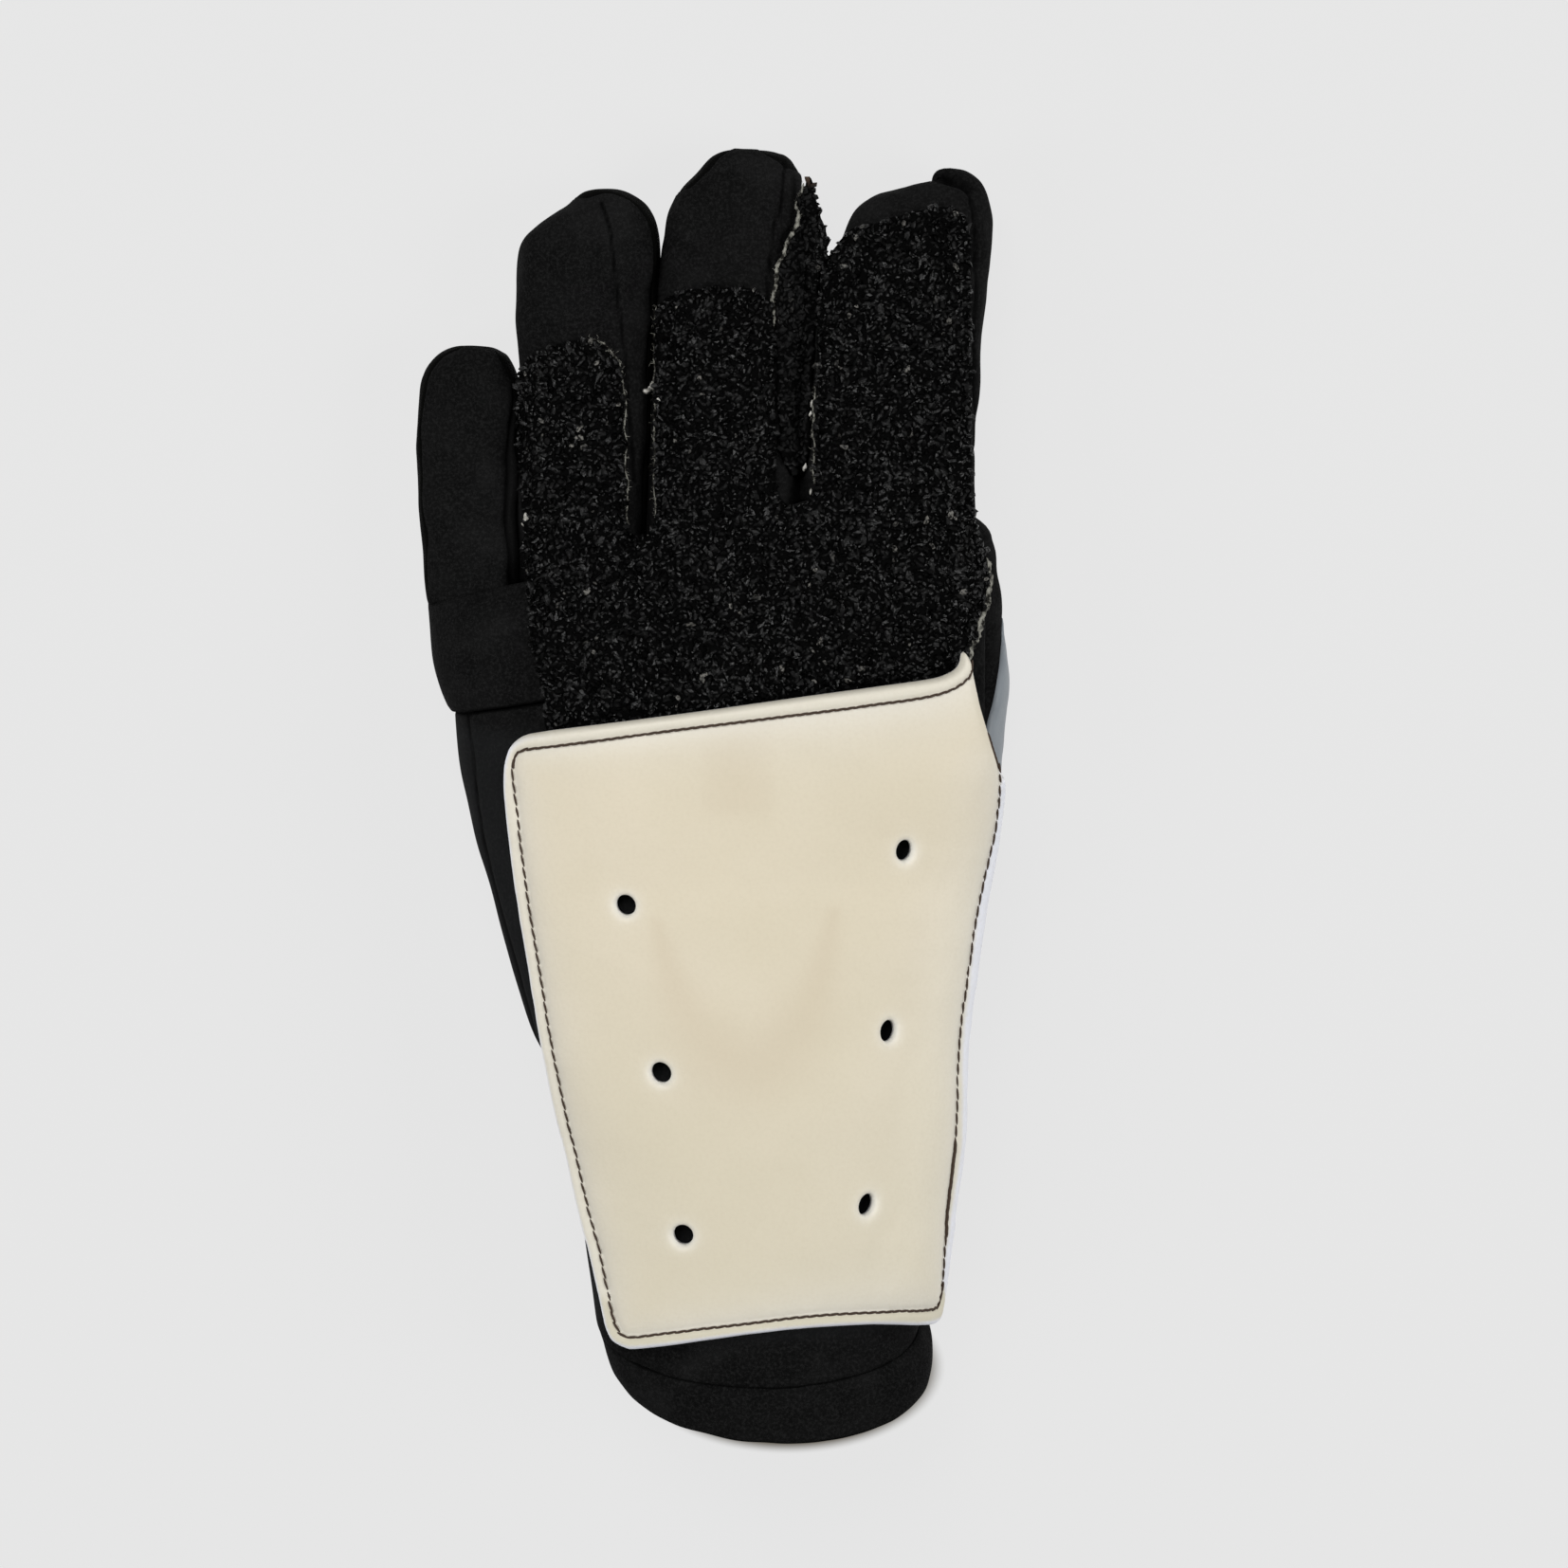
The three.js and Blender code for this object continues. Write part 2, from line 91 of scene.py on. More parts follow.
def ripple(points, size, seed, waves=16):
    """Soft unevenness at points in millimetres, about 1 high and about a size across."""
    dice = np.random.default_rng(seed)
    total = 0
    for _ in range(waves):
        way = unit(dice.normal(size=3))
        pitch = size * dice.uniform(0.7, 1.6)
        total = total + np.sin(points @ way * (2 * math.pi / pitch) + dice.uniform(0, 6.3))
    return total / math.sqrt(waves / 2)


def rippled(points, seed, *waves):
    """Soft unevenness of several kinds, each given by its height and its size in millimetres."""
    return sum(height * ripple(points, size, seed + k) for k, (height, size) in enumerate(waves))


def hump(distance, width):
    """A bell of height 1 at a distance of 0."""
    return np.exp(-((distance / width) ** 2))


def distance_to(points, line, closed=False):
    """How far each point in a plane is from a line of points."""
    p, a = np.asarray(points, float)[..., None, :], np.asarray(line, float)
    b = np.roll(a, -1, axis=0) if closed else a[1:]
    a = a if closed else a[:-1]
    way = b - a
    share = np.clip(((p - a) * way).sum(-1) / np.maximum((way * way).sum(-1), 1e-12), 0, 1)
    return np.linalg.norm(p - a - share[..., None] * way, axis=-1).min(-1)


def inside(points, loop):
    """Which points in a plane lie inside a closed loop."""
    x, y = np.asarray(points, float).T[:, :, None]
    (ax, ay), (bx, by) = loop.T[:, None], np.roll(loop, -1, axis=0).T[:, None]
    crosses = (ay > y) != (by > y)
    reach = ax + (y - ay) * (bx - ax) / np.where(by == ay, 1e-12, by - ay)
    return (crosses & (x < reach)).sum(1) % 2 == 1


# Sections of the soft forms, in millimetres

# The columns of a section's row
LEFT, RIGHT, LOW, HIGH, HEIGHTS, SQUARE, LEAN = [0, 1], [2, 3], [4, 5], [6, 7], slice(4, 8), 8, 9
# Each row: left x, y, right x, y, then the heights low left, low right, high left, high right,
# how square the section is (2 is an ellipse), and how far its back leans away from the fingertips.
HAND = [
    [-65.1, 41.8, 57.8, 77.2, -13, 19, 32.5, 38.5, 3.4, 0],
    [-64.7, 36.5, 58.2, 64.0, -16, 22, 38.0, 39.5, 3.0, 0],
    [-64.2, 29.0, 59.9, 52.0, -16, 22, 42.0, 40.0, 2.7, 0],
    [-62.5, 22.4, 60.5, 46.0, -16, 22, 43.6, 40.0, 2.55, 0],
    [-60.3, 17.6, 60.4, 41.8, -16, 22, 45.0, 40.0, 2.4, 0],
]
GAUNTLET = [
    [-59.2, 17.5, 60.4, 41.7, -16, 22, 45.0, 40.0, 2.4, 0],
    [-58.3, 6.0, 60.6, 22.0, -14, 22, 47.5, 40.0, 2.3, 0],
    [-56.2, -3.0, 60.4, 4.0, -12, 19, 49.5, 41.0, 2.2, 0],
    [-53.8, -12.5, 59.6, -7.0, -10, 15, 50.7, 41.6, 2.1, 0],
    [-51.0, -21.0, 58.2, -18.0, -8, 12, 51.5, 42.5, 2.1, 0],
    [-46.4, -39.0, 54.3, -38.0, -5, 4, 52.5, 44.5, 2.1, 0],
    [-40.6, -56.5, 51.3, -57.0, -3, 0, 53.0, 46.5, 2.1, 0],
    [-31.8, -78.0, 49.6, -79.0, -3, -3, 53.5, 48.0, 2.1, 1],
    [-30.2, -99.5, 48.0, -99.5, -3, -3, 53.5, 49.5, 2.1, 5],
    [-27.4, -121.7, 47.0, -122.9, -3, -3, 53.4, 50.9, 2.1, 9.1],
]
CUFF = [
    [-27.4, -121.0, 47.0, -122.2, -3, -3, 53.5, 51.0, 2.1, 9.1],
    [-26.4, -123.2, 48.8, -124.8, -3, -3, 54.0, 51.4, 2.1, 10.9],
    [-25.6, -125.6, 49.8, -127.8, -3, -3, 53.9, 51.4, 2.15, 12.5],
    [-24.6, -128.8, 50.0, -132.2, -3, -3, 52.5, 50.5, 2.15, 13.6],
]
PLATE = [
    [-65.0, 52.0, 63.6, 52.0, -10, 22, 49.0, 45.0, 2.4, 0],
    [-63.0, 22.0, 63.2, 22.0, -10, 21, 51.4, 45.4, 2.3, 0],
    [-60.0, 6.0, 63.4, 6.0, -10, 18, 52.4, 44.6, 2.2, 0],
    [-55.0, -18.0, 60.4, -18.0, -8, 11, 53.0, 44.2, 2.1, 0],
    [-50.0, -38.0, 57.9, -38.0, -5, 3, 53.8, 46.0, 2.1, 0],
    [-46.0, -57.0, 56.3, -57.0, -3, -1, 54.2, 48.0, 2.1, 0],
    [-41.0, -79.0, 55.0, -79.0, -3, -3, 54.6, 49.6, 2.1, 0],
    [-38.5, -99.5, 53.1, -99.5, -3, -3, 54.6, 51.0, 2.1, 0],
    [-38.0, -126.0, 48.2, -126.0, -3, -3, 54.6, 52.4, 2.1, 0],
]
BESIDE_MIDDLE = [
    [-13.9, 62.0, 18.7, 66.0, 4, 8, 33, 35, 2.8, 0],
    [-13.7, 90.0, 18.9, 92.0, 1, 3, 30, 31, 2.7, 0],
    [-13.2, 108.0, 20.8, 109.0, -1, 0, 28, 28, 2.6, 0],
    [-11.3, 122.0, 21.4, 122.0, -2, -2, 26, 26, 2.5, 0],
    [-9.0, 139.0, 19.6, 139.0, -2, -2, 24, 24, 2.5, 0],
]
THUMB = [
    [30.0, -26.0, 57.0, -31.0, 1, 1, 25, 25, 2.3, 0],
    [33.0, -16.0, 61.0, -20.0, -1, -1, 24, 24, 2.3, 0],
    [38.0, 0.0, 64.2, -1.0, -2, -2, 22, 22, 2.4, 0],
    [39.2, 19.0, 65.8, 19.0, -2, -2, 22, 22, 2.4, 0],
    [38.4, 33.6, 65.4, 36.0, -2, -2, 21.5, 21.5, 2.4, 0],
    [36.6, 44.0, 63.9, 47.5, -2, -2, 20.5, 20.5, 2.4, 0],
    [35.0, 48.6, 63.4, 54.8, -2, -2, 19.6, 19.6, 2.4, 0],
    [33.4, 52.2, 61.4, 59.2, -2, -2, 18.8, 18.8, 2.4, 0],
    [30.5, 58.0, 49.5, 68.0, -2, -2, 17.5, 17.5, 2.4, 0],
]
THUMB_END = (34.0, 70.0, 8.0)

# Each finger: the outline of its left and its right side from the base to the tip, the height of
# the tip, and rows of y, low left, low right, high left, high right, square.
FINGERS = {
    "little": dict(
        left=[
            (-65.1, 41.8), (-65.7, 48.3), (-66.1, 55.2), (-66.7, 62.0), (-67.2, 68.9), (-67.4, 75.7),
            (-67.1, 82.6), (-66.4, 89.4), (-65.6, 93.0), (-64.3, 95.6), (-62.6, 97.5), (-60.4, 98.8),
            (-57.8, 99.6), (-55.6, 99.6), (-53.6, 98.9), (-52.0, 98.0),
        ],
        right=[
            (-43.4, 46.9), (-43.3, 57.8), (-43.3, 70.6), (-43.3, 81.3), (-43.5, 87.7), (-44.5, 92.8),
            (-46.5, 96.7), (-47.9, 97.9), (-49.3, 98.6), (-50.6, 98.6), (-52.0, 98.0),
        ],
        tip=10.5,
        heights=[[40, -3, 1, 29, 30, 2.8], [58, -2, 0, 26, 27, 2.7], [74, -2, -1, 24, 25, 2.6],
                 [100, -2, -2, 23, 23, 2.5]],
    ),
    "ring": dict(
        left=[
            (-43.9, 47.0), (-43.9, 62), (-44.0, 75), (-43.8, 88), (-43.5, 96.4), (-44.0, 103.2),
            (-44.4, 109.9), (-44.2, 115.9), (-43.6, 120.7), (-42.3, 123.4), (-40.3, 125.5), (-38.4, 127.1),
            (-35.1, 129.1), (-33.2, 130.1), (-31.9, 131.1), (-30.3, 133.0), (-28.3, 134.1), (-25.0, 134.5),
        ],
        right=[
            (-15.7, 55.2), (-14.8, 66), (-14.0, 80), (-13.2, 95), (-12.5, 109.1), (-12.0, 115.4),
            (-12.1, 121.3), (-12.8, 126.3), (-14.1, 129.4), (-15.9, 131.7), (-18.3, 133.2), (-21.4, 134.3),
            (-25.0, 134.5),
        ],
        tip=12,
        heights=[[47, 1, 5, 31, 33, 3.0], [64, 0, 4, 30, 31, 2.8], [81, -1, 1, 28, 29, 2.7],
                 [98, -2, -1, 27, 27, 2.6], [113, -2, -2, 25, 25, 2.5], [136, -2, -2, 24, 24, 2.5]],
    ),
    "middle": dict(
        left=[
            (-15.2, 55.3), (-14.8, 66), (-14.2, 76), (-13.8, 90), (-13.3, 102), (-12.5, 110), (-11.9, 117),
            (-11.0, 123.5), (-10.2, 128.3), (-8.6, 132.5), (-6.6, 135.5), (-3.6, 138.4), (-1.1, 141.0),
            (1.2, 142.4), (3.6, 143.1), (5.5, 143.1), (7.2, 142.5),
        ],
        right=[
            (19.4, 65.5), (19.3, 76), (19.2, 90), (19.1, 100), (19.1, 109), (18.8, 117), (18.6, 124),
            (18.9, 130), (19.3, 134.4), (19.4, 137.0), (18.6, 138.9), (17.0, 141.0), (15.0, 142.3),
            (12.4, 142.9), (10.0, 143.1), (8.6, 142.9), (7.2, 142.5),
        ],
        tip=12,
        heights=[[55, 4, 10, 34, 36, 3.0], [74, 3, 7, 32, 34, 2.8], [91, 1, 3, 30, 31, 2.7],
                 [109, -1, 0, 28, 28, 2.6], [122, -2, -2, 26, 26, 2.5], [145, -2, -2, 25, 25, 2.5]],
    ),
    "index": dict(
        left=[
            (19.2, 65.7), (19.3, 72), (19.6, 79), (20.2, 88), (21.0, 98), (22.2, 108), (23.8, 115.0),
            (26.2, 120.0), (28.7, 123.3), (30.3, 127.2), (31.9, 129.8), (34.0, 131.7), (37.0, 133.3),
            (40.6, 134.1), (44.0, 135.2), (47.2, 135.8), (48.8, 136.0), (49.3, 137.4), (50.3, 138.5),
            (52.4, 139.0),
        ],
        right=[
            (57.8, 77.2), (58.0, 84), (58.8, 90), (59.7, 100), (60.5, 107), (61.0, 113.5), (61.6, 119),
            (62.0, 124), (62.2, 128), (61.6, 131.4), (60.4, 134.6), (58.8, 136.8), (56.1, 138.4),
            (52.4, 139.0),
        ],
        tip=12,
        heights=[[66, 11, 19, 36, 36.5, 3.0], [86, 7, 12, 34, 35, 2.8], [101, 3, 5, 31, 32, 2.7],
                 [116, -1, 0, 28, 28, 2.5], [140, -2, -2, 26, 26, 2.5]],
    ),
}

# Seams that show on the backs of the fingers, in plan
FACE_SEAMS = {
    "little": [
        (-45.0, 90.5), (-45.3, 87.2), (-45.8, 77.7), (-46.1, 67.1), (-46.2, 58.5), (-46.1, 50.0),
        (-45.1, 46.2),
    ],
    "ring": [
        (-24.9, 131.4), (-23.8, 128.6), (-22.8, 125.5), (-22.0, 117.6), (-21.0, 107.8), (-20.2, 100),
        (-17.5, 70),
    ],
    "middle": [
        (15.9, 140.6), (15.3, 135.9), (14.9, 130.5), (13.4, 126.1), (12.8, 120.1), (11.9, 114.7), (12, 60),
    ],
    "index": [
        (57.0, 133.6), (57.8, 129.9), (58.2, 124.0), (57.8, 113.7), (57.4, 76.8),
    ],
}


def finger_sections(finger, count):
    """Fine section rows for a finger down to its tip, the tip, and the height of its side seams."""
    left, right = smooth_curve(finger["left"], count), smooth_curve(finger["right"], count)
    middle = (left + right) / 2
    width = np.linalg.norm(right - left, axis=1)
    heights = np.array(finger["heights"], float)
    rows = np.zeros((count, 10))
    rows[:, LEFT], rows[:, RIGHT] = left, right
    rows[:, 4 : SQUARE + 1] = read_at(middle[:, 1], heights[:, 0], heights[:, 1:])
    low, high = rows[:, LOW].mean(1), rows[:, HIGH].mean(1)
    level = (low + high) / 2 + (high - low) / 2 * SIDE_SEAM
    widest = width[: int(count * 0.7)].max()
    size = np.clip(width / widest, 0, 1)[:, None] ** 0.5
    rows[:, HEIGHTS] = finger["tip"] + (rows[:, HEIGHTS] - finger["tip"]) * size
    return rows[:-1], np.array([*left[-1], finger["tip"]]), level[:-1]


def tube_end(rows, end, steps=14, roundness=2.5):
    """Rows that close a tube with a dome whose tip is at a point."""
    last, tip = rows[-1], np.array(end)
    middle = (last[LEFT] + last[RIGHT]) / 2
    closing = []
    for t in np.sin(np.linspace(0, TOP, steps + 1)[1:-1]):
        size = (1 - t**roundness) ** (1 / roundness)
        row = last.copy()
        centre = middle + (tip[:2] - middle) * t
        row[LEFT] = centre + (last[LEFT] - middle) * size
        row[RIGHT] = centre + (last[RIGHT] - middle) * size
        row[HEIGHTS] = tip[2] + (last[HEIGHTS] - tip[2]) * size
        closing.append(row)
    return np.vstack([rows, closing])


def angles_round(rows, around, close_up=None):
    """Angles that space points evenly round the widest section, or closer at one share of its height."""
    widths = np.linalg.norm(rows[:, RIGHT] - rows[:, LEFT], axis=1)
    row = rows[widths.argmax()]
    fine = np.linspace(-TOP, 3 * TOP, 1441)
    ring = rings_of(row[None], fine)[0]
    steps = np.linalg.norm(np.diff(ring, axis=0), axis=1)
    if close_up is not None:
        low, high = row[LOW].mean(), row[HIGH].mean()
        height = low + (high - low) * (1 + close_up) / 2
        steps = steps * (1 + 2.5 * hump(ring[1:, 2] - height, 2.0))
    far = np.r_[0, np.cumsum(steps)]
    return np.interp(np.linspace(0, far[-1], around + 1)[:-1], far, fine)


def rings_of(rows, angles):
    """The points round each section, in millimetres."""
    c, s = np.cos(angles), np.sin(angles)
    power = 2 / rows[:, SQUARE][:, None]
    u, v = np.sign(c) * np.abs(c) ** power, np.sign(s) * np.abs(s) ** power
    share = (u + 1) / 2

    def spread(left, right):
        return rows[:, [left]] * (1 - share) + rows[:, [right]] * share

    low, high = spread(*LOW), spread(*HIGH)
    y = spread(1, 3) - rows[:, [LEAN]] * v
    return np.stack([spread(0, 2), y, (low + high) / 2 + (high - low) / 2 * v], axis=-1)


def outward(rings):
    """The outward direction at each point of a tube's rings."""
    around = np.roll(rings, -1, axis=1) - np.roll(rings, 1, axis=1)
    way = unit(np.cross(around, np.gradient(rings, axis=0)))
    away = rings - rings.mean(axis=1, keepdims=True)
    return way if (way * away).sum() > 0 else -way


# Meshes


def in_scene(name, data):
    """A named object of the scene from a mesh, a light or a camera."""
    made = bpy.data.objects.new(name, data)
    bpy.context.scene.collection.objects.link(made)
    return made


def mesh_object(name, points, faces, material=None):
    """A named object from points in millimetres and faces."""
    mesh = bpy.data.meshes.new(name)
    mesh.from_pydata(np.asarray(points) * MM, [], [tuple(int(i) for i in f) for f in faces])
    mesh.validate()
    mesh.update()
    mesh.polygons.foreach_set("use_smooth", [True] * len(mesh.polygons))
    if material:
        mesh.materials.append(material)
    return in_scene(name, mesh)


def quads_between(first, second, around):
    """The faces between two rings, from the number of the first point of each."""
    here = np.arange(around)
    after = (here + 1) % around
    return np.stack([first + here, first + after, second + after, second + here], axis=1)


def keep_number(piece, name, values):
    """Keeps a number for each point of a mesh, for its material to read."""
    attribute = piece.data.attributes.new(name, "FLOAT", "POINT")
    attribute.data.foreach_set("value", np.asarray(values, np.float32).ravel())


def keep_uv(piece, coordinates):
    """A UV map from a pair of numbers for each point, in millimetres."""
    layer = piece.data.uv_layers.new(name="cloth")
    corners = np.zeros(len(piece.data.loops), np.int32)
    piece.data.loops.foreach_get("vertex_index", corners)
    layer.data.foreach_set("uv", np.asarray(coordinates, np.float32)[corners].ravel())


def make_outward(piece):
    """Turns a closed mesh's faces outwards, by the sign of its volume."""
    mesh = piece.data
    mesh.calc_loop_triangles()
    points = np.zeros(len(mesh.vertices) * 3)
    mesh.vertices.foreach_get("co", points)
    points = points.reshape(-1, 3)
    triangles = np.zeros(len(mesh.loop_triangles) * 3, np.int32)
    mesh.loop_triangles.foreach_get("vertices", triangles)
    a, b, c = (points[triangles.reshape(-1, 3)[:, k]] for k in range(3))
    if (a * np.cross(b, c)).sum() < 0:
        mesh.flip_normals()
    return piece


def cloth_tube(name, rings, wall=2.0, tip=None, seam=None, under=None, inner_step=5):
    """A fabric tube with a wall: open at its first ring, and at its last too unless it has a tip."""
    count, around = rings.shape[:2]
    normal = outward(rings)
    picks = sorted({*range(0, count, inner_step), count - 1})
    ends = [0, count - 1]
    if tip is not None:
        picks = [k for k in picks if k < count - 3]
        ends = [0]
    inner = rings[picks] - normal[picks] * wall
    inner[..., 2] = np.maximum(inner[..., 2], wall * 0.6)
    lips = []
    for k in ends:
        step = unit(rings[k] - rings[1 if k == 0 else count - 2])
        lips.append(rings[k] - normal[k] * wall / 2 + step * wall * 0.1)
    points = np.concatenate([rings, inner, lips]).reshape(-1, 3)
    lip = count + len(picks)
    strips = [(k, k + 1) for k in range(count - 1)] + [(k + 1, k) for k in range(count, lip - 1)]
    strips += [(lip, 0), (count, lip)]
    if tip is None:
        strips += [(count - 1, lip + 1), (lip + 1, lip - 1)]
    faces = np.vstack([quads_between(a * around, b * around, around) for a, b in strips]).tolist()
    if tip is not None:
        inner_tip = rings[-1].mean(axis=0) * 0.2 + tip * 0.8 - (tip - rings[-8].mean(axis=0)) * 0.5
        outer_end, inner_end, last = (count - 1) * around, (lip - 1) * around, len(points)
        faces += [(outer_end + k, outer_end + (k + 1) % around, last) for k in range(around)]
        faces += [(inner_end + (k + 1) % around, inner_end + k, last + 1) for k in range(around)]
        points = np.vstack([points, tip, inner_tip])
    piece = mesh_object(name, points, faces, FABRIC)
    lining = np.zeros(len(points))
    lining[count * around : lip * around] = 1
    keep_number(piece, "lining", lining)
    for number, values, elsewhere in (("seam", seam, NO_SEAM), ("under", under, 0.0)):
        whole = np.full(len(points), elsewhere)
        if values is not None:
            whole[: values.size] = values.ravel()
        keep_number(piece, number, whole)
    across = length_along(rings[count // 3])
    down = length_along(rings[:, around // 2])
    every = [*range(count), *picks, *ends]
    uv = np.column_stack([np.tile(across - across[around // 2], len(every)), np.repeat(down[every], around)])
    keep_uv(piece, np.vstack([uv, np.tile((0, down[-1]), (len(points) - len(uv), 1))]))
    return make_outward(piece)


def clothed(rings, moves):
    """Rings moved out along their own outward direction, and never under the surface that they lie on."""
    moved = rings + outward(rings) * moves[..., None]
    moved[..., 2] = np.maximum(moved[..., 2], 0.0)
    return moved


def ring_span(rings):
    """How far each ring of a tube is from its first and from its last, in millimetres."""
    steps = np.linalg.norm(np.diff(rings, axis=0), axis=-1)
    far = np.vstack([np.zeros(rings.shape[1]), np.cumsum(steps, axis=0)])
    return far, far[-1] - far


# Finishes


class Nodes:
    """A tree of nodes."""

    def output_of(self, kind, settings=None, inputs=None, output=0):
        """An output of a new node, whose inputs are values or the outputs of other nodes."""
        made = self.tree.nodes.new(kind)
        for key, value in (settings or {}).items():
            setattr(made, key, value)
        for key, value in (inputs or {}).items():
            if isinstance(value, bpy.types.NodeSocket):
                self.tree.links.new(value, made.inputs[key])
            else:
                made.inputs[key].default_value = value
        return made.outputs[output]


def both_ways(operation):
    """An operator and its reflected form, which add a Math node for a wire and another value."""

    def forward(self, other):
        return self.maths(operation, self, other)

    def reflected(self, other):
        return self.maths(operation, other, self)

    return forward, reflected


class Wire:
    """An output of a node. Python's operators on it add Math nodes."""

    def __init__(self, finish, socket):
        self.finish, self.socket = finish, socket

    def maths(self, operation, *values):
        """A Math node for an operation on values, which are numbers or wires."""
        return self.finish.node("ShaderNodeMath", {"operation": operation}, dict(enumerate(values)))

    __add__, __radd__ = both_ways("ADD")
    __sub__, __rsub__ = both_ways("SUBTRACT")
    __mul__, __rmul__ = both_ways("MULTIPLY")
    __truediv__, __rtruediv__ = both_ways("DIVIDE")
    __pow__, __rpow__ = both_ways("POWER")

    def __abs__(self):
        return self.maths("ABSOLUTE", self)

    def wave(self, pitch):
        """Between -1 and 1, with one wave to a pitch."""
        return self.maths("SINE", self * (2 * math.pi / pitch))

    def between(self, low, high):
        """0 at low and 1 at high, smoothly."""
        settings = {"interpolation_type": "SMOOTHSTEP"}
        return self.finish.node("ShaderNodeMapRange", settings, {0: self, 1: low, 2: high, 3: 0.0, 4: 1.0})

    def parts(self):
        """The three numbers of a vector."""
        split = self.finish.node("ShaderNodeSeparateXYZ", {}, {0: self})
        return [Wire(self.finish, out) for out in split.socket.node.outputs]


class Finish(Nodes):
    """A procedural material on one shader."""

    def __init__(self, name, roughness=0.6, **constants):
        self.material = bpy.data.materials.new(name)
        self.material.use_nodes = True
        self.tree = self.material.node_tree
        self.shader = next(n for n in self.tree.nodes if n.type == "BSDF_PRINCIPLED")
        self.shader.inputs["Roughness"].default_value = roughness
        for socket, value in constants.items():
            self.shader.inputs[socket.replace("_", " ")].default_value = value

    def node(self, kind, settings=None, inputs=None, output=0):
        inputs = {key: getattr(value, "socket", value) for key, value in (inputs or {}).items()}
        return Wire(self, self.output_of(kind, settings, inputs, output))

    def place(self):
        return self.node("ShaderNodeTexCoord", output="Object")

    def cloth_uv(self):
        return self.node("ShaderNodeUVMap", {"uv_map": "cloth"})

    def number(self, name):
        return self.node("ShaderNodeAttribute", {"attribute_name": name}, output="Fac")

    def noise(self, size, detail=2.0, roughness=0.5):
        """Noise from 0 to 1 with features of a size in metres."""
        inputs = {"Vector": self.place(), "Scale": 1 / size, "Detail": detail, "Roughness": roughness}
        return self.node("ShaderNodeTexNoise", {}, inputs)

    def cells(self, size):
        return self.node("ShaderNodeTexVoronoi", {}, {"Vector": self.place(), "Scale": 1 / size}, "Distance")

    def mix(self, share, first, second):
        """A colour between two, which are colours or wires."""
        first, second = (pair if isinstance(pair, Wire) else (*pair, 1.0) for pair in (first, second))
        return self.node("ShaderNodeMix", {"data_type": "RGBA"}, {0: share, 6: first, 7: second}, output=2)

    def feed(self, socket, wire):
        self.tree.links.new(wire.socket, self.shader.inputs[socket])

    def relief(self, height, depth):
        """Bumps whose height from 0 to 1 stands for a depth in metres."""
        inputs = {"Height": height, "Distance": depth, "Strength": 1.0}
        self.feed("Normal", self.node("ShaderNodeBump", {}, inputs))


def colour(red, green, blue):
    """Linear colour from the 0 to 255 values of a picture."""
    shares = (v / 255 for v in (red, green, blue))
    return tuple(((s + 0.055) / 1.055) ** 2.4 if s > 0.0404 else s / 12.92 for s in shares)


def fabric_finish():
    f = Finish("black stretch fabric", roughness=0.95, Specular_IOR_Level=0.05)
    u, v, _ = f.cloth_uv().parts()
    x, y, _ = f.place().parts()
    knit = u.wave(0.62) * v.wave(0.5) * 0.5 + 0.5
    fuzz, cloud = f.noise(0.0007, detail=4.0, roughness=0.75), f.noise(0.009, detail=4.0, roughness=0.6)
    line = 1 - abs(f.number("seam")).between(0.1, 0.7)
    tone = f.mix(cloud.between(0.3, 0.7), colour(9, 9, 9), colour(16, 16, 16))
    tone = f.mix(f.noise(0.016).between(0.5, 0.7) * 0.2, tone, colour(40, 40, 40))
    tone = f.mix(fuzz.between(0.42, 0.7) * 0.6, tone, colour(38, 38, 38))
    # Painted sheen: the gauntlet is painted a little paler than the fingers and the hand, for the light its
    # cloth catches
    tone = f.mix(y.between(0.018, 0.012) * y.between(-0.122, -0.118) * 0.4, tone, colour(36, 37, 38))
    # Dark seam lines, which also carry painted shade along a crease
    tone = f.mix(line * 0.85, tone, colour(3, 3, 3))
    # Painted fill light: the fold between the little and the ring finger is painted paler, to lift the shade
    # in it
    valley_fill_light = x.between(-0.0470, -0.0460) * x.between(-0.0425, -0.0433)
    valley_fill_light = valley_fill_light * y.between(0.048, 0.056) * y.between(0.094, 0.088)
    tone = f.mix(valley_fill_light * 0.5, tone, colour(28, 28, 28))
    # Painted shade below the fingers' side seams
    tone = f.mix(f.number("under") * 0.85, tone, colour(4, 4, 3))
    tone = f.mix(f.number("lining") * 0.9, tone, colour(26, 26, 27))
    f.feed("Base Color", tone)
    f.relief(knit * 0.3 + fuzz * 0.7 - line, 0.00016)
    return f.material


def crumb_finish():
    f = Finish("black rubber crumb", roughness=0.3, Specular_IOR_Level=0.21)
    shade = f.number("shade")
    x, y, _ = f.place().parts()
    # Painted shade: the grit in the slot between the middle and the index finger is painted darker, for the
    # shade there, and the side strip's tip is brown
    slot = x.between(0.0136, 0.0142) * x.between(0.0232, 0.0226) * y.between(0.072, 0.076)
    tone = f.mix(shade.between(0.3, 0.95), colour(1, 1, 1), colour(8, 8, 8))
    pale = shade.between(0.985, 0.998) * f.noise(0.0006).between(0.4, 0.6)
    tone = f.mix(pale, tone, colour(114, 112, 107))
    # Painted shade in the slot
    tone = f.mix(slot * 0.75, tone, colour(1, 1, 1))
    tone = f.mix(y.between(0.1345, 0.1372) * 0.7, tone, colour(72, 55, 42))
    f.feed("Base Color", tone)
    f.feed("Roughness", shade * 0.3 + slot * 0.3 + 0.14)
    f.relief(f.noise(0.0005), 0.00015)
    return f.material


def backing_finish():
    f = Finish("black grip backing", roughness=0.9, Specular_IOR_Level=0.04)
    f.feed("Base Color", f.mix(f.noise(0.0008, detail=3.0), colour(2, 2, 2), colour(6, 6, 6)))
    f.relief(f.noise(0.0005, detail=3.0), 0.0002)
    return f.material


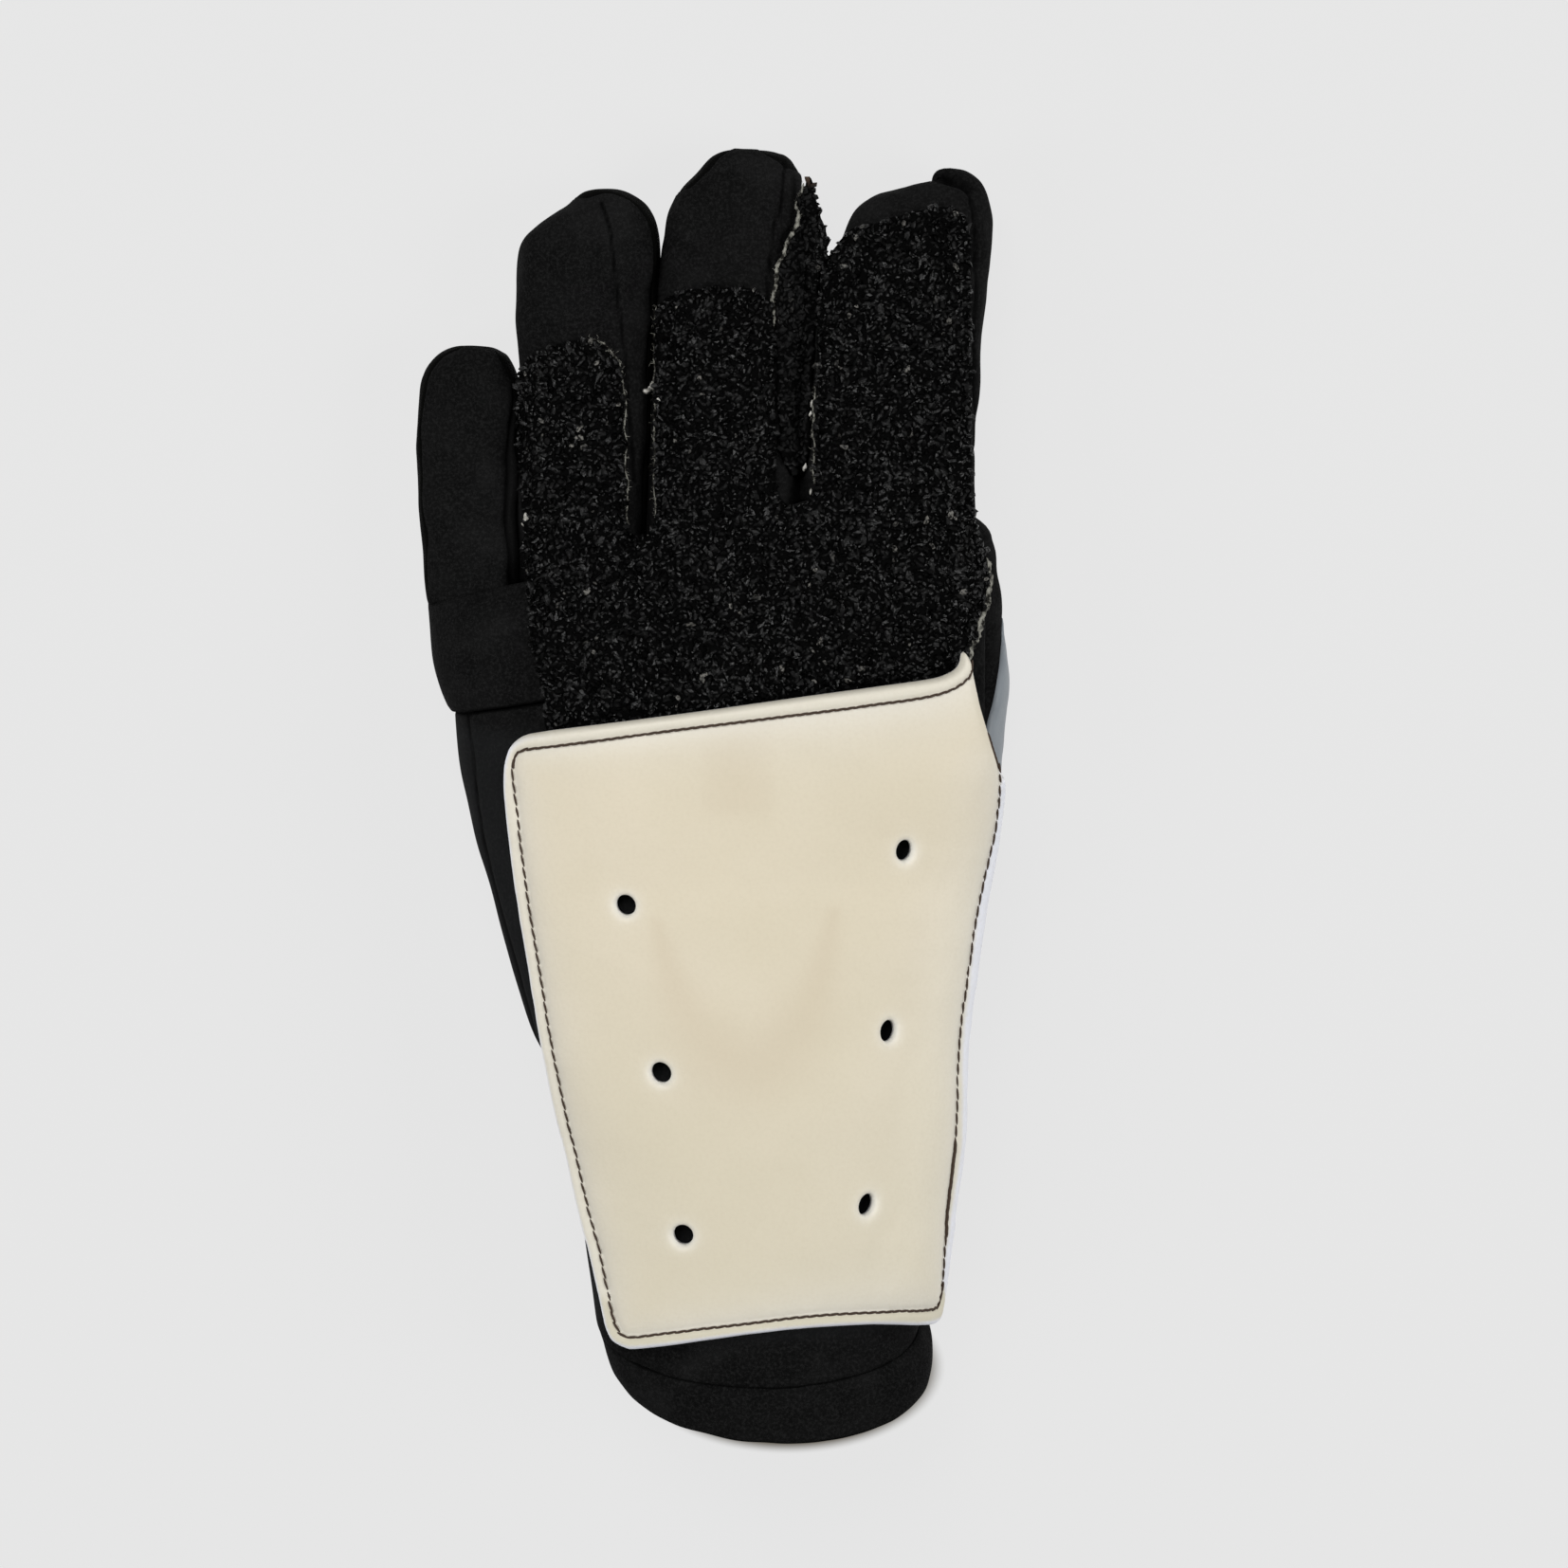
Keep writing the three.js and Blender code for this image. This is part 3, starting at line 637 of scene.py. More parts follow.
def fibre_finish(name, dark, light):
    f = Finish(name, roughness=0.95, Specular_IOR_Level=0.1)
    patch = f.noise(0.0014, detail=3.0)
    f.feed("Base Color", f.mix(patch.between(0.38, 0.6), dark, light))
    f.relief(f.noise(0.0004, detail=3.0), 0.0004)
    return f.material


def plate_finish():
    f = Finish("cream wrist plate", roughness=0.5, Specular_IOR_Level=0.3)
    x, y, _ = f.place().parts()
    cloud, grain = f.noise(0.03), f.noise(0.0008, detail=3.0)
    tone = f.mix(cloud.between(0.2, 0.8), colour(221, 211, 187), colour(226, 216, 194))
    tone = f.mix(y.between(-0.01, -0.11) * 0.55, tone, colour(213, 206, 184))
    # Painted shade of a shallow dent, together with a brownish stain band across the top
    tone = f.mix(f.number("dent_shade_and_stain") * 0.31, tone, colour(206, 190, 164))
    # Painted light: the lower right of the plate, where it curves away, is painted paler
    painted_light_low_right = (x - y * 0.14).between(0.048, 0.060) * y.between(0.0, -0.03)
    tone = f.mix(painted_light_low_right * 0.45, tone, colour(240, 232, 210))
    border = f.mix(y.between(-0.109, -0.113), colour(229, 225, 212), colour(211, 206, 186))
    tone = f.mix(f.number("margin") * 0.75, tone, border)
    # Paler inside the stitches: the plate's own whiter edge, and painted light
    tone = f.mix(f.number("pale_edge_and_painted_light") * 0.72, tone, colour(232, 229, 220))
    tone = f.mix(f.number("rim"), tone, colour(248, 246, 238))
    tone = f.mix(f.number("cut"), tone, colour(238, 240, 247))
    tone = f.mix(grain.between(0.3, 0.9) * 0.15, tone, colour(200, 188, 162))
    f.feed("Base Color", tone)
    f.relief(grain * 0.6 + f.noise(0.0025) * 0.4, 0.0001)
    return f.material


def panel_finish():
    f = Finish("grey-blue smooth leather", roughness=0.5, Specular_IOR_Level=0.35)
    f.feed("Base Color", f.mix(f.noise(0.01), colour(126, 133, 139), colour(143, 149, 154)))
    f.relief(f.cells(0.0008), 0.00005)
    return f.material


def thread_finish():
    f = Finish("dark thread", roughness=0.7, Specular_IOR_Level=0.3)
    x, y, _ = f.place().parts()
    twist = (x + y).wave(0.0004)
    f.feed("Base Color", f.mix(twist * 0.5 + 0.5, colour(36, 26, 20), colour(82, 65, 52)))
    return f.material


FABRIC, CRUMB, BACKING = fabric_finish(), crumb_finish(), backing_finish()
FIBRE = fibre_finish("pale cut fibres", colour(30, 29, 26), colour(150, 149, 140))
TUFT = fibre_finish("white tufts", colour(170, 168, 160), colour(215, 213, 206))
CREAM, GREY, THREAD = plate_finish(), panel_finish(), thread_finish()

# Node trees for what repeats


class Steps(Nodes):
    """A Geometry Nodes tree that ends in realized instances with a material."""

    def __init__(self, name, **sizes):
        self.tree = bpy.data.node_groups.new(name, "GeometryNodeTree")
        self.tree.interface.new_socket("Geometry", in_out="INPUT", socket_type="NodeSocketGeometry")
        kinds = {float: "NodeSocketFloat", int: "NodeSocketInt"}
        self.sizes = {
            key: self.tree.interface.new_socket(key, in_out="INPUT", socket_type=kinds[type(value)])
            for key, value in sizes.items()
        }
        self.values = sizes
        self.tree.interface.new_socket("Geometry", in_out="OUTPUT", socket_type="NodeSocketGeometry")
        self.start = self.tree.nodes.new("NodeGroupInput")

    def size(self, name):
        """The tree's input of a name."""
        return self.start.outputs[name]

    def random(self, low, high, seed):
        """A random number for each instance."""
        inputs = {2: low, 3: high, "Seed": seed}
        return self.output_of("FunctionNodeRandomValue", {"data_type": "FLOAT"}, inputs, output=1)

    def random_angles(self, low, high, seed):
        """Three random angles for each instance."""
        inputs = {0: low, 1: high, "Seed": seed}
        return self.output_of("FunctionNodeRandomValue", {"data_type": "FLOAT_VECTOR"}, inputs)

    def turned(self, rotation, angles):
        """A rotation turned further, by angles about its own axes."""
        further = self.output_of("FunctionNodeEulerToRotation", {}, {0: angles})
        settings = {"rotation_space": "LOCAL"}
        return self.output_of("FunctionNodeRotateRotation", settings, {0: rotation, 1: further})

    def instances(self, points, shape, rotation, scale):
        """An instance of a shape, or of one of a collection's shapes, on each point."""
        inputs = {"Points": points, "Instance": shape, "Rotation": rotation, "Scale": scale}
        if isinstance(shape, bpy.types.Collection):
            choice = {"Collection": shape, "Separate Children": True, "Reset Children": True}
            inputs["Instance"] = self.output_of("GeometryNodeCollectionInfo", {}, choice)
            inputs["Pick Instance"] = True
        return self.output_of("GeometryNodeInstanceOnPoints", {}, inputs)

    def finish(self, geometry, material):
        """Ends the tree with real geometry in a material."""
        real = self.output_of("GeometryNodeRealizeInstances", {}, {0: geometry})
        done = self.output_of("GeometryNodeSetMaterial", {}, {"Geometry": real, "Material": material})
        end = self.tree.nodes.new("NodeGroupOutput")
        self.tree.links.new(done, end.inputs[0])
        return self

    def run(self, piece, name):
        """A plain mesh object from the tree's result on a piece, which is then removed."""
        modifier = piece.modifiers.new("steps", "NODES")
        modifier.node_group = self.tree
        for key, socket in self.sizes.items():
            modifier[socket.identifier] = self.values[key]
        view = bpy.context.evaluated_depsgraph_get()
        mesh = bpy.data.meshes.new_from_object(piece.evaluated_get(view))
        mesh.name = name
        bpy.data.objects.remove(piece)
        return in_scene(name, mesh)


def hidden_shapes(name, shapes):
    """A collection of shapes that only instances show."""
    box = bpy.data.collections.new(name)
    for k, (points, faces) in enumerate(shapes):
        mesh = bpy.data.meshes.new(f"{name} {k}")
        mesh.from_pydata(points, [], faces)
        box.objects.link(bpy.data.objects.new(f"{name} {k}", mesh))
    return box


def granule_shapes(kinds=7, seed=3):
    """Chips of rubber: a ball of twenty facets, dented and drawn out."""
    dice, shapes = np.random.default_rng(seed), []
    for _ in range(kinds):
        ball = bmesh.new()
        bmesh.ops.create_icosphere(ball, subdivisions=1, radius=1.0)
        points = np.array([v.co for v in ball.verts]) * dice.uniform(0.6, 1.25, (len(ball.verts), 1))
        points *= [1.0, dice.uniform(0.45, 0.7), dice.uniform(0.35, 0.6)]
        faces = [[v.index for v in f.verts] for f in ball.faces]
        shapes.append((points.tolist(), faces))
        ball.free()
    return shapes


def fibre_shapes(kinds=5, seed=5):
    """Short bent fibres with three sides."""
    dice, shapes = np.random.default_rng(seed), []
    for _ in range(kinds):
        bend = dice.normal(0, 0.25, (4, 3)).cumsum(axis=0)
        spine = np.array([[0, 0, t] for t in np.linspace(0, 1, 4)]) + bend
        corner = [(math.cos(a) * 0.06, math.sin(a) * 0.06, 0) for a in (0, 2.1, 4.2)]
        points = [tuple(s + np.array(c)) for s in spine for c in corner] + [tuple(spine[-1] + (0, 0, 0.1))]
        faces = np.vstack([quads_between(row * 3, row * 3 + 3, 3) for row in range(3)]).tolist()
        faces += [(9, 10, 12), (10, 11, 12), (11, 9, 12), (0, 2, 1)]
        shapes.append((points, faces))
    return shapes


GRANULES = hidden_shapes("granule", granule_shapes())
FIBRES = hidden_shapes("fibre", fibre_shapes())


def scattered(surface, name, spacing, smallest, largest, seed):
    """Granules all over a surface."""
    sizes = dict(Spacing=spacing, Smallest=smallest, Largest=largest, Seed=seed)
    s = Steps("granules on a surface", **sizes)
    mesh, apart, dice = s.start.outputs[0], s.size("Spacing"), s.size("Seed")
    inputs = {"Mesh": mesh, "Distance Min": apart, "Density Max": 4e6, "Seed": dice}
    spread = s.output_of("GeometryNodeDistributePointsOnFaces", {"distribute_method": "POISSON"}, inputs)
    spin = s.random_angles((-0.8, -0.8, 0), (0.8, 0.8, 6.28), dice)
    rotation = s.turned(spread.node.outputs["Rotation"], spin)
    size = s.random(s.size("Smallest"), s.size("Largest"), dice)
    put = s.instances(spread, GRANULES, rotation, size)
    named = s.output_of(
        "GeometryNodeStoreNamedAttribute",
        {"data_type": "FLOAT", "domain": "INSTANCE"},
        {"Geometry": put, "Name": "shade", "Value": s.random(0.0, 1.0, 77)},
    )
    return s.finish(named, CRUMB).run(surface, name)


def guide(name, points, up):
    """A line of points in millimetres, with the direction that is up at each."""
    mesh = bpy.data.meshes.new(name)
    mesh.from_pydata((np.asarray(points) * MM).tolist(), [(k, k + 1) for k in range(len(points) - 1)], [])
    attribute = mesh.attributes.new("up", "FLOAT_VECTOR", "POINT")
    attribute.data.foreach_set("vector", np.asarray(up, np.float32).ravel())
    return in_scene(name, mesh)


def along_guide(s, pitch):
    """Points spaced along the guide, and the rotation that lies each instance along it."""
    curve = s.output_of("GeometryNodeMeshToCurve", {}, {0: s.start.outputs[0]})
    spaced = s.output_of("GeometryNodeResampleCurve", {"mode": "LENGTH"}, {"Curve": curve, "Length": pitch})
    up = s.output_of("GeometryNodeInputNamedAttribute", {"data_type": "FLOAT_VECTOR"}, {"Name": "up"})
    align = "FunctionNodeAlignRotationToVector"
    ahead = s.output_of(align, {"axis": "X"}, {"Vector": s.output_of("GeometryNodeInputTangent")})
    return spaced, s.output_of(align, {"axis": "Z", "pivot_axis": "X"}, {"Rotation": ahead, "Vector": up})


def stitches(name, points, up, pitch, length, width):
    """A row of sewn stitches along a line."""
    s = Steps("row of stitches", Pitch=pitch, Length=length, Width=width)
    spaced, along = along_guide(s, s.size("Pitch"))
    bead = s.output_of("GeometryNodeMeshUVSphere", {}, {"Segments": 10, "Rings": 7, "Radius": 0.5})
    thick = s.size("Width")
    scale = s.output_of("ShaderNodeCombineXYZ", {}, {0: s.size("Length"), 1: thick, 2: thick})
    put = s.instances(spaced, bead, s.turned(along, (0, 0, 0.12)), scale)
    return s.finish(put, THREAD).run(guide(name + " guide", points, up), name)


def fibre_edge(name, points, up, pitch, longest, seed):
    """Cut fibres that stand out of an edge in every direction."""
    s = Steps("fibres along an edge", Pitch=pitch, Longest=longest, Seed=seed)
    spaced, along = along_guide(s, s.size("Pitch"))
    spin = s.random_angles((-1.5, -1.2, -3.1), (1.5, 1.2, 3.1), s.size("Seed"))
    size = s.random(0.0003, s.size("Longest"), s.size("Seed"))
    put = s.instances(spaced, FIBRES, s.turned(along, spin), size)
    return s.finish(put, FIBRE).run(guide(name + " guide", points, up), name)


# The fabric pieces

# How high up a finger's side its seam runs, from 0 at the middle of its height to 1 at its back
SIDE_SEAM = 0.56
# How far over its underside a finger's back starts, and how far off the back's lines the rest counts
BACK_FROM, OFF_BACK = 8, 99.0
# How wide the side seam is hidden at a bare line, and how much further off it counts there
BARE_WIDTH, BARE_AWAY = 2.4, 8


def softness(up):
    """How freely cloth ripples: fully where it faces up, and less where it lies on the ground."""
    return np.clip(up + 0.2, 0.25, 1)


def groove(distance, depth, width, swell):
    """How a seam moves the cloth near it: a groove, and a swelling beside it."""
    return swell * hump(distance - 1.2, 0.8) - depth * hump(distance, width)


def side_of(name, side, last):
    """A finger's outline on one side, from its base up to a place along it."""
    return [p for p in FINGERS[name][side] if p[1] <= last]


def make_finger(name, seed, dents=(), creases=(), bare=()):
    """A fabric finger with its seams.

    Dents are x, y, width and depth. Creases are a line, width, depth and how far their painted shade
    spreads.
    The strip round the finger's side doesn't show along the bare lines.
    """
    rows, tip, level = finger_sections(FINGERS[name], 150)
    rings = rings_of(rows, angles_round(rows, 118, SIDE_SEAM))
    from_base, _ = ring_span(rings)
    plan, up = rings[..., :2], outward(rings)[..., 2]
    back = rings[..., 2] > rows[:, LOW].mean(1)[:, None] + BACK_FROM

    def on_back(line):
        return np.where(back, distance_to(plan, line), OFF_BACK)

    # How far along the skin each point is above the side seam
    rim = (rings[..., 2] - level[:, None]) / np.sqrt(np.maximum(1 - up**2, 0.08))
    for line in bare:
        rim = rim + BARE_AWAY * hump(distance_to(plan, line), BARE_WIDTH)
    face = np.minimum(on_back(FACE_SEAMS[name]), NO_SEAM)
    moves = rippled(rings, seed, (0.4, 17), (0.16, 6)) * softness(up)
    # The cloth is drawn in at the side seam and stands out a little above it
    moves += -0.65 * hump(rim, 0.5) + 0.3 * np.clip(rim, 0, 1.2) / 1.2
    moves += groove(face, 0.5, 0.4, 0.18) - 0.12 * hump(from_base, 0.6)
    for x, y, across, depth in dents:
        moves -= depth * np.where(back, hump(np.linalg.norm(plan - (x, y), axis=-1), across), 0)
    # A crease is drawn in, and shade is painted along it as a seam's dark line, spread wider by its last
    # number
    for line, across, depth, dark in creases:
        near = on_back(line)
        moves -= depth * hump(near, across)
        face = np.minimum(face, near / dark)
    rings = clothed(rings, moves)
    rings[..., 2] += onto_hand(rings, from_base, np.where(back, up, 0))
    seam = np.minimum(np.abs(rim), face)
    # Below the side seam the cloth is in shade, but not where it lies on the ground
    under = np.clip(0.3 - rim, 0, 1) * (rings[..., 2] > 6)
    return cloth_tube(f"{name}_finger_fabric", rings, tip=tip, seam=seam, under=under), rings


def onto_hand(rings, from_base, up, reach=15.0, most=4):
    """How much the back of a finger rises or falls at its base to meet the hand."""
    front = rings_of(np.array([HAND[0]], float), np.linspace(math.pi, 0, 200))[0]
    height = np.interp(rings[..., 0], front[:, 0], front[:, 2])
    # Only near the base, and only where the skin faces up
    share = np.clip(1 - from_base / reach, 0, 1) ** 2 * np.clip((up - 0.35) / 0.4, 0, 1)
    return np.clip(height - rings[..., 2], -most, most) * share


little, _ = make_finger(
    "little",
    seed=11,
    dents=[(-57, 88, 5, 0.5), (-54, 60, 6, 0.5), (-61, 72, 4, 0.4)],
    bare=[[(-52.8, 98.4), (-51.6, 98.2)]],
)
ring, ring_rings = make_finger(
    "ring",
    seed=21,
    dents=[(-33, 112, 6, 0.7), (-18, 112, 4, 0.4)],
    bare=[side_of("ring", "left", 131.2)],
)
middle, middle_rings = make_finger(
    "middle",
    seed=31,
    dents=[(0, 126.5, 4.5, 1.9), (8, 125, 5, 1.2), (4, 116.5, 5, 0.8), (-6, 122, 4, 0.5)],
    bare=[side_of("middle", "left", 134), side_of("middle", "right", 137.5), [(6.6, 143), (7.8, 143)]],
)
INDEX_FOLD = [(50.4, 137.2), (52.8, 136.7), (55.4, 136.0), (57.2, 134.9)]
INDEX_VALLEY = [(43.8, 132.7), (48.0, 132.1), (52.3, 131.3), (55.8, 130.8)]
index, index_rings = make_finger(
    "index",
    seed=41,
    creases=[(INDEX_FOLD, 1.25, 2.3, 2.3), (INDEX_VALLEY, 1.7, 0.8, 0.01)],
    bare=[side_of("index", "left", 138), side_of("index", "right", 138), [(49, 138.6), (56, 138.6)]],
)


def make_body(name, rows, count, around, seed, ends, line=None, wrinkle=0.4, wall=2.0, sewn_start=True):
    """A fabric tube, drawn in by a depth at each end and by a seam along a line."""
    rows = smooth_curve(rows, count)
    rings = rings_of(rows, angles_round(rows, around))
    first, last = ring_span(rings)
    up = outward(rings)[..., 2]
    moves = rippled(rings, seed, (wrinkle, 26), (0.1, 8)) * softness(up)
    moves -= ends[0] * hump(first, 0.7) + ends[1] * hump(last, 0.7)
    seam = np.minimum(first if sewn_start else first + NO_SEAM, last)
    if line is not None:
        near = np.where(up > 0, distance_to(rings[..., :2], line), NO_SEAM)
        moves += groove(near, 0.4, 0.5, 0.15)
        seam = np.minimum(seam, near)
    rings = clothed(rings, moves)
    return cloth_tube(name, rings, wall=wall, seam=seam), rings


hand, hand_rings = make_body(
    "hand_fabric", HAND, count=44, around=250, seed=51, ends=(0.1, 0.3), sewn_start=False
)
EDGE_SEAM = [
    (-55.4, 17.3), (-53.6, 3.2), (-51.9, -9.5), (-49.8, -18), (-48, -24.7), (-46.5, -30.7), (-44.9, -37.5),
    (-40, -56), (-34, -80),
]
gauntlet, gauntlet_rings = make_body(
    "gauntlet_fabric",
    GAUNTLET,
    count=130,
    around=230,
    seed=61,
    ends=(0.3, 0.4),
    line=EDGE_SEAM,
    wrinkle=0.25,
)
cuff, _ = make_body(
    "cuff_hem", CUFF, count=22, around=230, seed=71, ends=(0.6, 0.3), wrinkle=0.2, wall=2.2
)


def make_thumb():
    """The fabric thumb, open at its base."""
    rows = tube_end(smooth_curve(THUMB, 90), THUMB_END)
    rings = rings_of(rows, angles_round(rows, 90))
    rings = clothed(rings, rippled(rings, 81, (0.25, 15), (0.08, 6)))
    return cloth_tube("thumb_fabric", rings, tip=np.array(THUMB_END)), rings


thumb, thumb_rings = make_thumb()

# Sheets laid over the glove


def filled(outline, spacing, holes=(), more=None, row_step=0.866, jitter=0.12, clear=0.55):
    """Points and triangles over an outline in a plane, whose own points come first.

    The points stand in rows, a little off their places, and clear of the loops by a share of the spacing.
    """
    loops = [outline, *holes]
    low, high = outline.min(0), outline.max(0)
    across = np.arange(low[0], high[0], spacing)
    down = np.arange(low[1], high[1], spacing * row_step)
    grid = np.array([(x + spacing / 2 * (k % 2), y) for k, y in enumerate(down) for x in across])
    grid += np.random.default_rng(1).uniform(-jitter, jitter, grid.shape) * spacing
    grid = grid[inside(grid, outline)]
    for hole in holes:
        grid = grid[~inside(grid, hole)]
    for loop in loops:
        grid = grid[distance_to(grid, loop, closed=True) > spacing * clear]
    points = np.vstack([*loops, grid] if more is None else [*loops, grid, more])
    edges, first = [], 0
    for loop in loops:
        edges += [(first + k, first + (k + 1) % len(loop)) for k in range(len(loop))]
        first += len(loop)
    out, _, faces, *_ = delaunay_2d_cdt(points.tolist(), edges, [], 1, 1e-5)
    out = np.array([tuple(p) for p in out])
    faces = np.array([f for f in faces if len(f) == 3])
    middle = out[faces].mean(1)
    keep = inside(middle, outline)
    for hole in holes:
        keep &= ~inside(middle, hole)
    return out, faces[keep]


def edges_of(faces):
    """The edges of triangles, in the direction that each triangle goes round."""
    return np.vstack([faces[:, [0, 1]], faces[:, [1, 2]], faces[:, [2, 0]]])


def boundary(faces):
    """The directed edges of triangles that only one triangle has."""
    edges = edges_of(faces).tolist()
    seen = {tuple(e) for e in edges}
    return np.array([e for e in edges if (e[1], e[0]) not in seen])


def slab(name, top, bottom, faces, material):
    """A closed sheet between two copies of the same triangles."""
    count = len(top)
    rim = boundary(faces)
    sides = np.vstack([
        np.stack([rim[:, 1], rim[:, 0], rim[:, 0] + count], axis=1),
        np.stack([rim[:, 1], rim[:, 0] + count, rim[:, 1] + count], axis=1),
    ])
    whole = np.vstack([faces, faces[:, ::-1] + count, sides])
    return make_outward(mesh_object(name, np.vstack([top, bottom]), whole, material))


def tree_of(*skins):
    """The outer faces of tubes, to lay sheets on."""
    points, faces, first = [], [], 0
    for rings in skins:
        count, around = rings.shape[:2]
        for k in range(count - 1):
            faces += quads_between(first + k * around, first + (k + 1) * around, around).tolist()
        points.append(rings.reshape(-1, 3))
        first += count * around
    return BVHTree.FromPolygons(np.vstack(points).tolist(), faces)


def vertex_normals(points, faces):
    """The upward direction at each point of a sheet."""
    a, b, c = (points[faces[:, k]] for k in range(3))
    normal = np.zeros_like(points)
    for k in range(3):
        np.add.at(normal, faces[:, k], np.cross(b - a, c - a))
    normal = unit(normal)
    return normal if normal[:, 2].sum() > 0 else -normal


def smoothed(values, faces, rounds, least):
    """Heights of points, each drawn towards the mean of its neighbours' but kept above its least."""
    edges = np.unique(np.sort(edges_of(faces), axis=1), axis=0)
    count = np.bincount(edges.ravel(), minlength=len(values))
    for _ in range(rounds):
        total = np.zeros_like(values)
        np.add.at(total, edges[:, 0], values[edges[:, 1]])
        np.add.at(total, edges[:, 1], values[edges[:, 0]])
        values = np.maximum(values * 0.4 + 0.6 * total / np.maximum(count, 1), least)
    return values


def laid_on(tree, plan, faces, rounds, sink):
    """Points in plan dropped on the skins under them, and smoothed where they bridge a valley."""
    height = np.zeros(len(plan))
    for k, (x, y) in enumerate(plan):
        hit = tree.ray_cast((x, y, ABOVE), DOWN)[0]
        if hit is None:
            hit = tree.find_nearest((x, y, 24.0))[0]
        height[k] = hit[2]
    return np.column_stack([plan, smoothed(height, faces, rounds, height - sink)])


# The grip's outline in stretches, and its two slots: left, right and bottom
GRIP_LEFT = [(-36, 8.5), (-37.6, 24), (-40.6, 40), (-42.2, 62), (-43.2, 80), (-43.2, 92)]
GRIP_RING_TOP = [(-42.4, 95.5), (-38, 99), (-31, 101.2), (-25.4, 100.6), (-21.4, 96.5), (-20.2, 90)]
GRIP_MIDDLE_TOP = [(-12.5, 104), (-11.6, 108.6), (-7, 111.8), (2, 113), (9, 112.2), (13, 109.6)]
GRIP_INDEX_LEFT = [(22.9, 80), (23.1, 92), (23.4, 101), (23.8, 109.5), (24.6, 115.4), (25.3, 119.0)]
GRIP_INDEX_TOP = [
    (27.2, 120.4), (29.2, 123.2), (32, 125.6), (38, 127.4), (46, 130), (52, 130.4), (55.8, 127.4),
    (56.9, 121),
]
GRIP_RIGHT = [
    (56.6, 98), (56.7, 84), (56.8, 72), (57.0, 66), (57.9, 61.4), (59.3, 56), (60.1, 51.6), (60.4, 48),
    (60.0, 43.5), (58.7, 39), (56.7, 34), (54.0, 27),
]
SLOT_RING, SLOT_MIDDLE = (-19.6, -12.3, 57.6), (13.8, 22.8, 65.0)
SIDE_STRIP = [
    (16.6, 71.4), (14.9, 76), (14.2, 84), (13.8, 95), (13.6, 105.8), (14.2, 115.6), (16.2, 121.6),
    (18.4, 127.4), (20.1, 133.4), (21.2, 137.4), (22.5, 133.6), (24.0, 127.8), (25.4, 121.4), (24.4, 115.4),
    (23.4, 109.5), (22.9, 100.8), (22.6, 92), (22.2, 82), (21.6, 76), (20.4, 71.8),
]


def slot_line(left, right, bottom, beyond):
    """The round bottom of a slot, and the point where the outline goes on."""
    radius = (right - left) / 2
    turns = np.linspace(math.pi, 2 * math.pi, 9)
    middle = (left + radius, bottom + radius)
    return [(middle[0] + radius * math.cos(a), middle[1] + radius * math.sin(a)) for a in turns] + [beyond]


def stretches(*parts):
    """A closed outline through stretches that are each smooth, with points about 0.8 apart."""
    loop = np.vstack([smooth_curve(part, max(3, int(length_along(part)[-1] / 0.8))) for part in parts])
    return evenly_round(np.vstack([loop, loop[:1]]), 0.8)


def hand_cut(loop, amount, seed):
    """An outline with the small unevenness of a hand-cut edge."""
    flat = np.column_stack([loop, np.zeros(len(loop))])
    return loop + amount * np.column_stack([ripple(flat, 5, seed), ripple(flat, 5, seed + 1)])


def make_sheet(name, outline, spacing, tree, low, edge, high, rounds=6, sink=0.25):
    """A backing from low to high over the skins, its top, its faces, and its edge with the way up there."""
    plan, faces = filled(outline, spacing)
    base = laid_on(tree, plan, faces, rounds, sink)
    normal = vertex_normals(base, faces)
    top = base + normal * high
    backing = slab(name, top, base + normal * low, faces, BACKING)
    loop, up = base[: len(outline)], normal[: len(outline)]
    return backing, top, faces, loop + up * edge, up


def make_grip():
    """The grip's backing on the hand and on three fingers, with its two slots."""
    ring_slot = slot_line(*SLOT_RING, GRIP_MIDDLE_TOP[0])
    middle_slot = slot_line(*SLOT_MIDDLE, GRIP_INDEX_LEFT[0])
    left = [GRIP_LEFT, GRIP_RING_TOP, ring_slot, GRIP_MIDDLE_TOP]
    right = [GRIP_INDEX_LEFT, GRIP_INDEX_TOP, GRIP_RIGHT]
    outline = hand_cut(stretches(*left, middle_slot, *right), amount=0.16, seed=91)
    tree = tree_of(ring_rings, middle_rings, index_rings, hand_rings, gauntlet_rings)
    return make_sheet("grip_backing", outline, 1.3, tree, low=0.25, edge=0.9, high=1.5)


def make_side_grip():
    """The backing of the strip on the middle finger's side."""
    outline = hand_cut(stretches(SIDE_STRIP + [SIDE_STRIP[0]]), amount=0.12, seed=95)
    rows = smooth_curve(BESIDE_MIDDLE, 80)
    form = rings_of(rows, angles_round(rows, 90))
    tree = tree_of(form, middle_rings, index_rings)
    sizes = dict(low=0.35, edge=1.0, high=1.6, rounds=3, sink=0.5)
    return make_sheet("side_grip_backing", outline, 1.0, tree, **sizes)


grip, grip_top, grip_faces, grip_loop, grip_up = make_grip()
side_grip, side_top, side_faces, side_loop, side_up = make_side_grip()


def grit(name, top, faces, seed):
    """Crumb of about a millimetre all over a sheet's top."""
    base = mesh_object("grit base", top, faces)
    return scattered(base, name, spacing=0.00088, smallest=0.00055, largest=0.0014, seed=seed)


on_hand = grip_top[grip_faces].mean(1)[:, 1] < 62
hand_grit = grit("hand_granules", grip_top, grip_faces[on_hand], 7)
finger_grit = grit("finger_granules", grip_top, grip_faces[~on_hand], 8)
side_grit = grit("side_grip_granules", side_top, side_faces, 9)


def stretch_of(loop, up, left, right, low, high):
    """The longest run of an outline's points within a box in plan."""
    x, y, _ = loop.T
    good = (left < x) & (x < right) & (low < y) & (y < high)
    best, run = [], []
    for k in [*range(len(loop)), *range(len(loop))]:
        run = [*run, k] if good[k] else []
        best = run if len(run) > len(best) else best
    return loop[best], up[best]


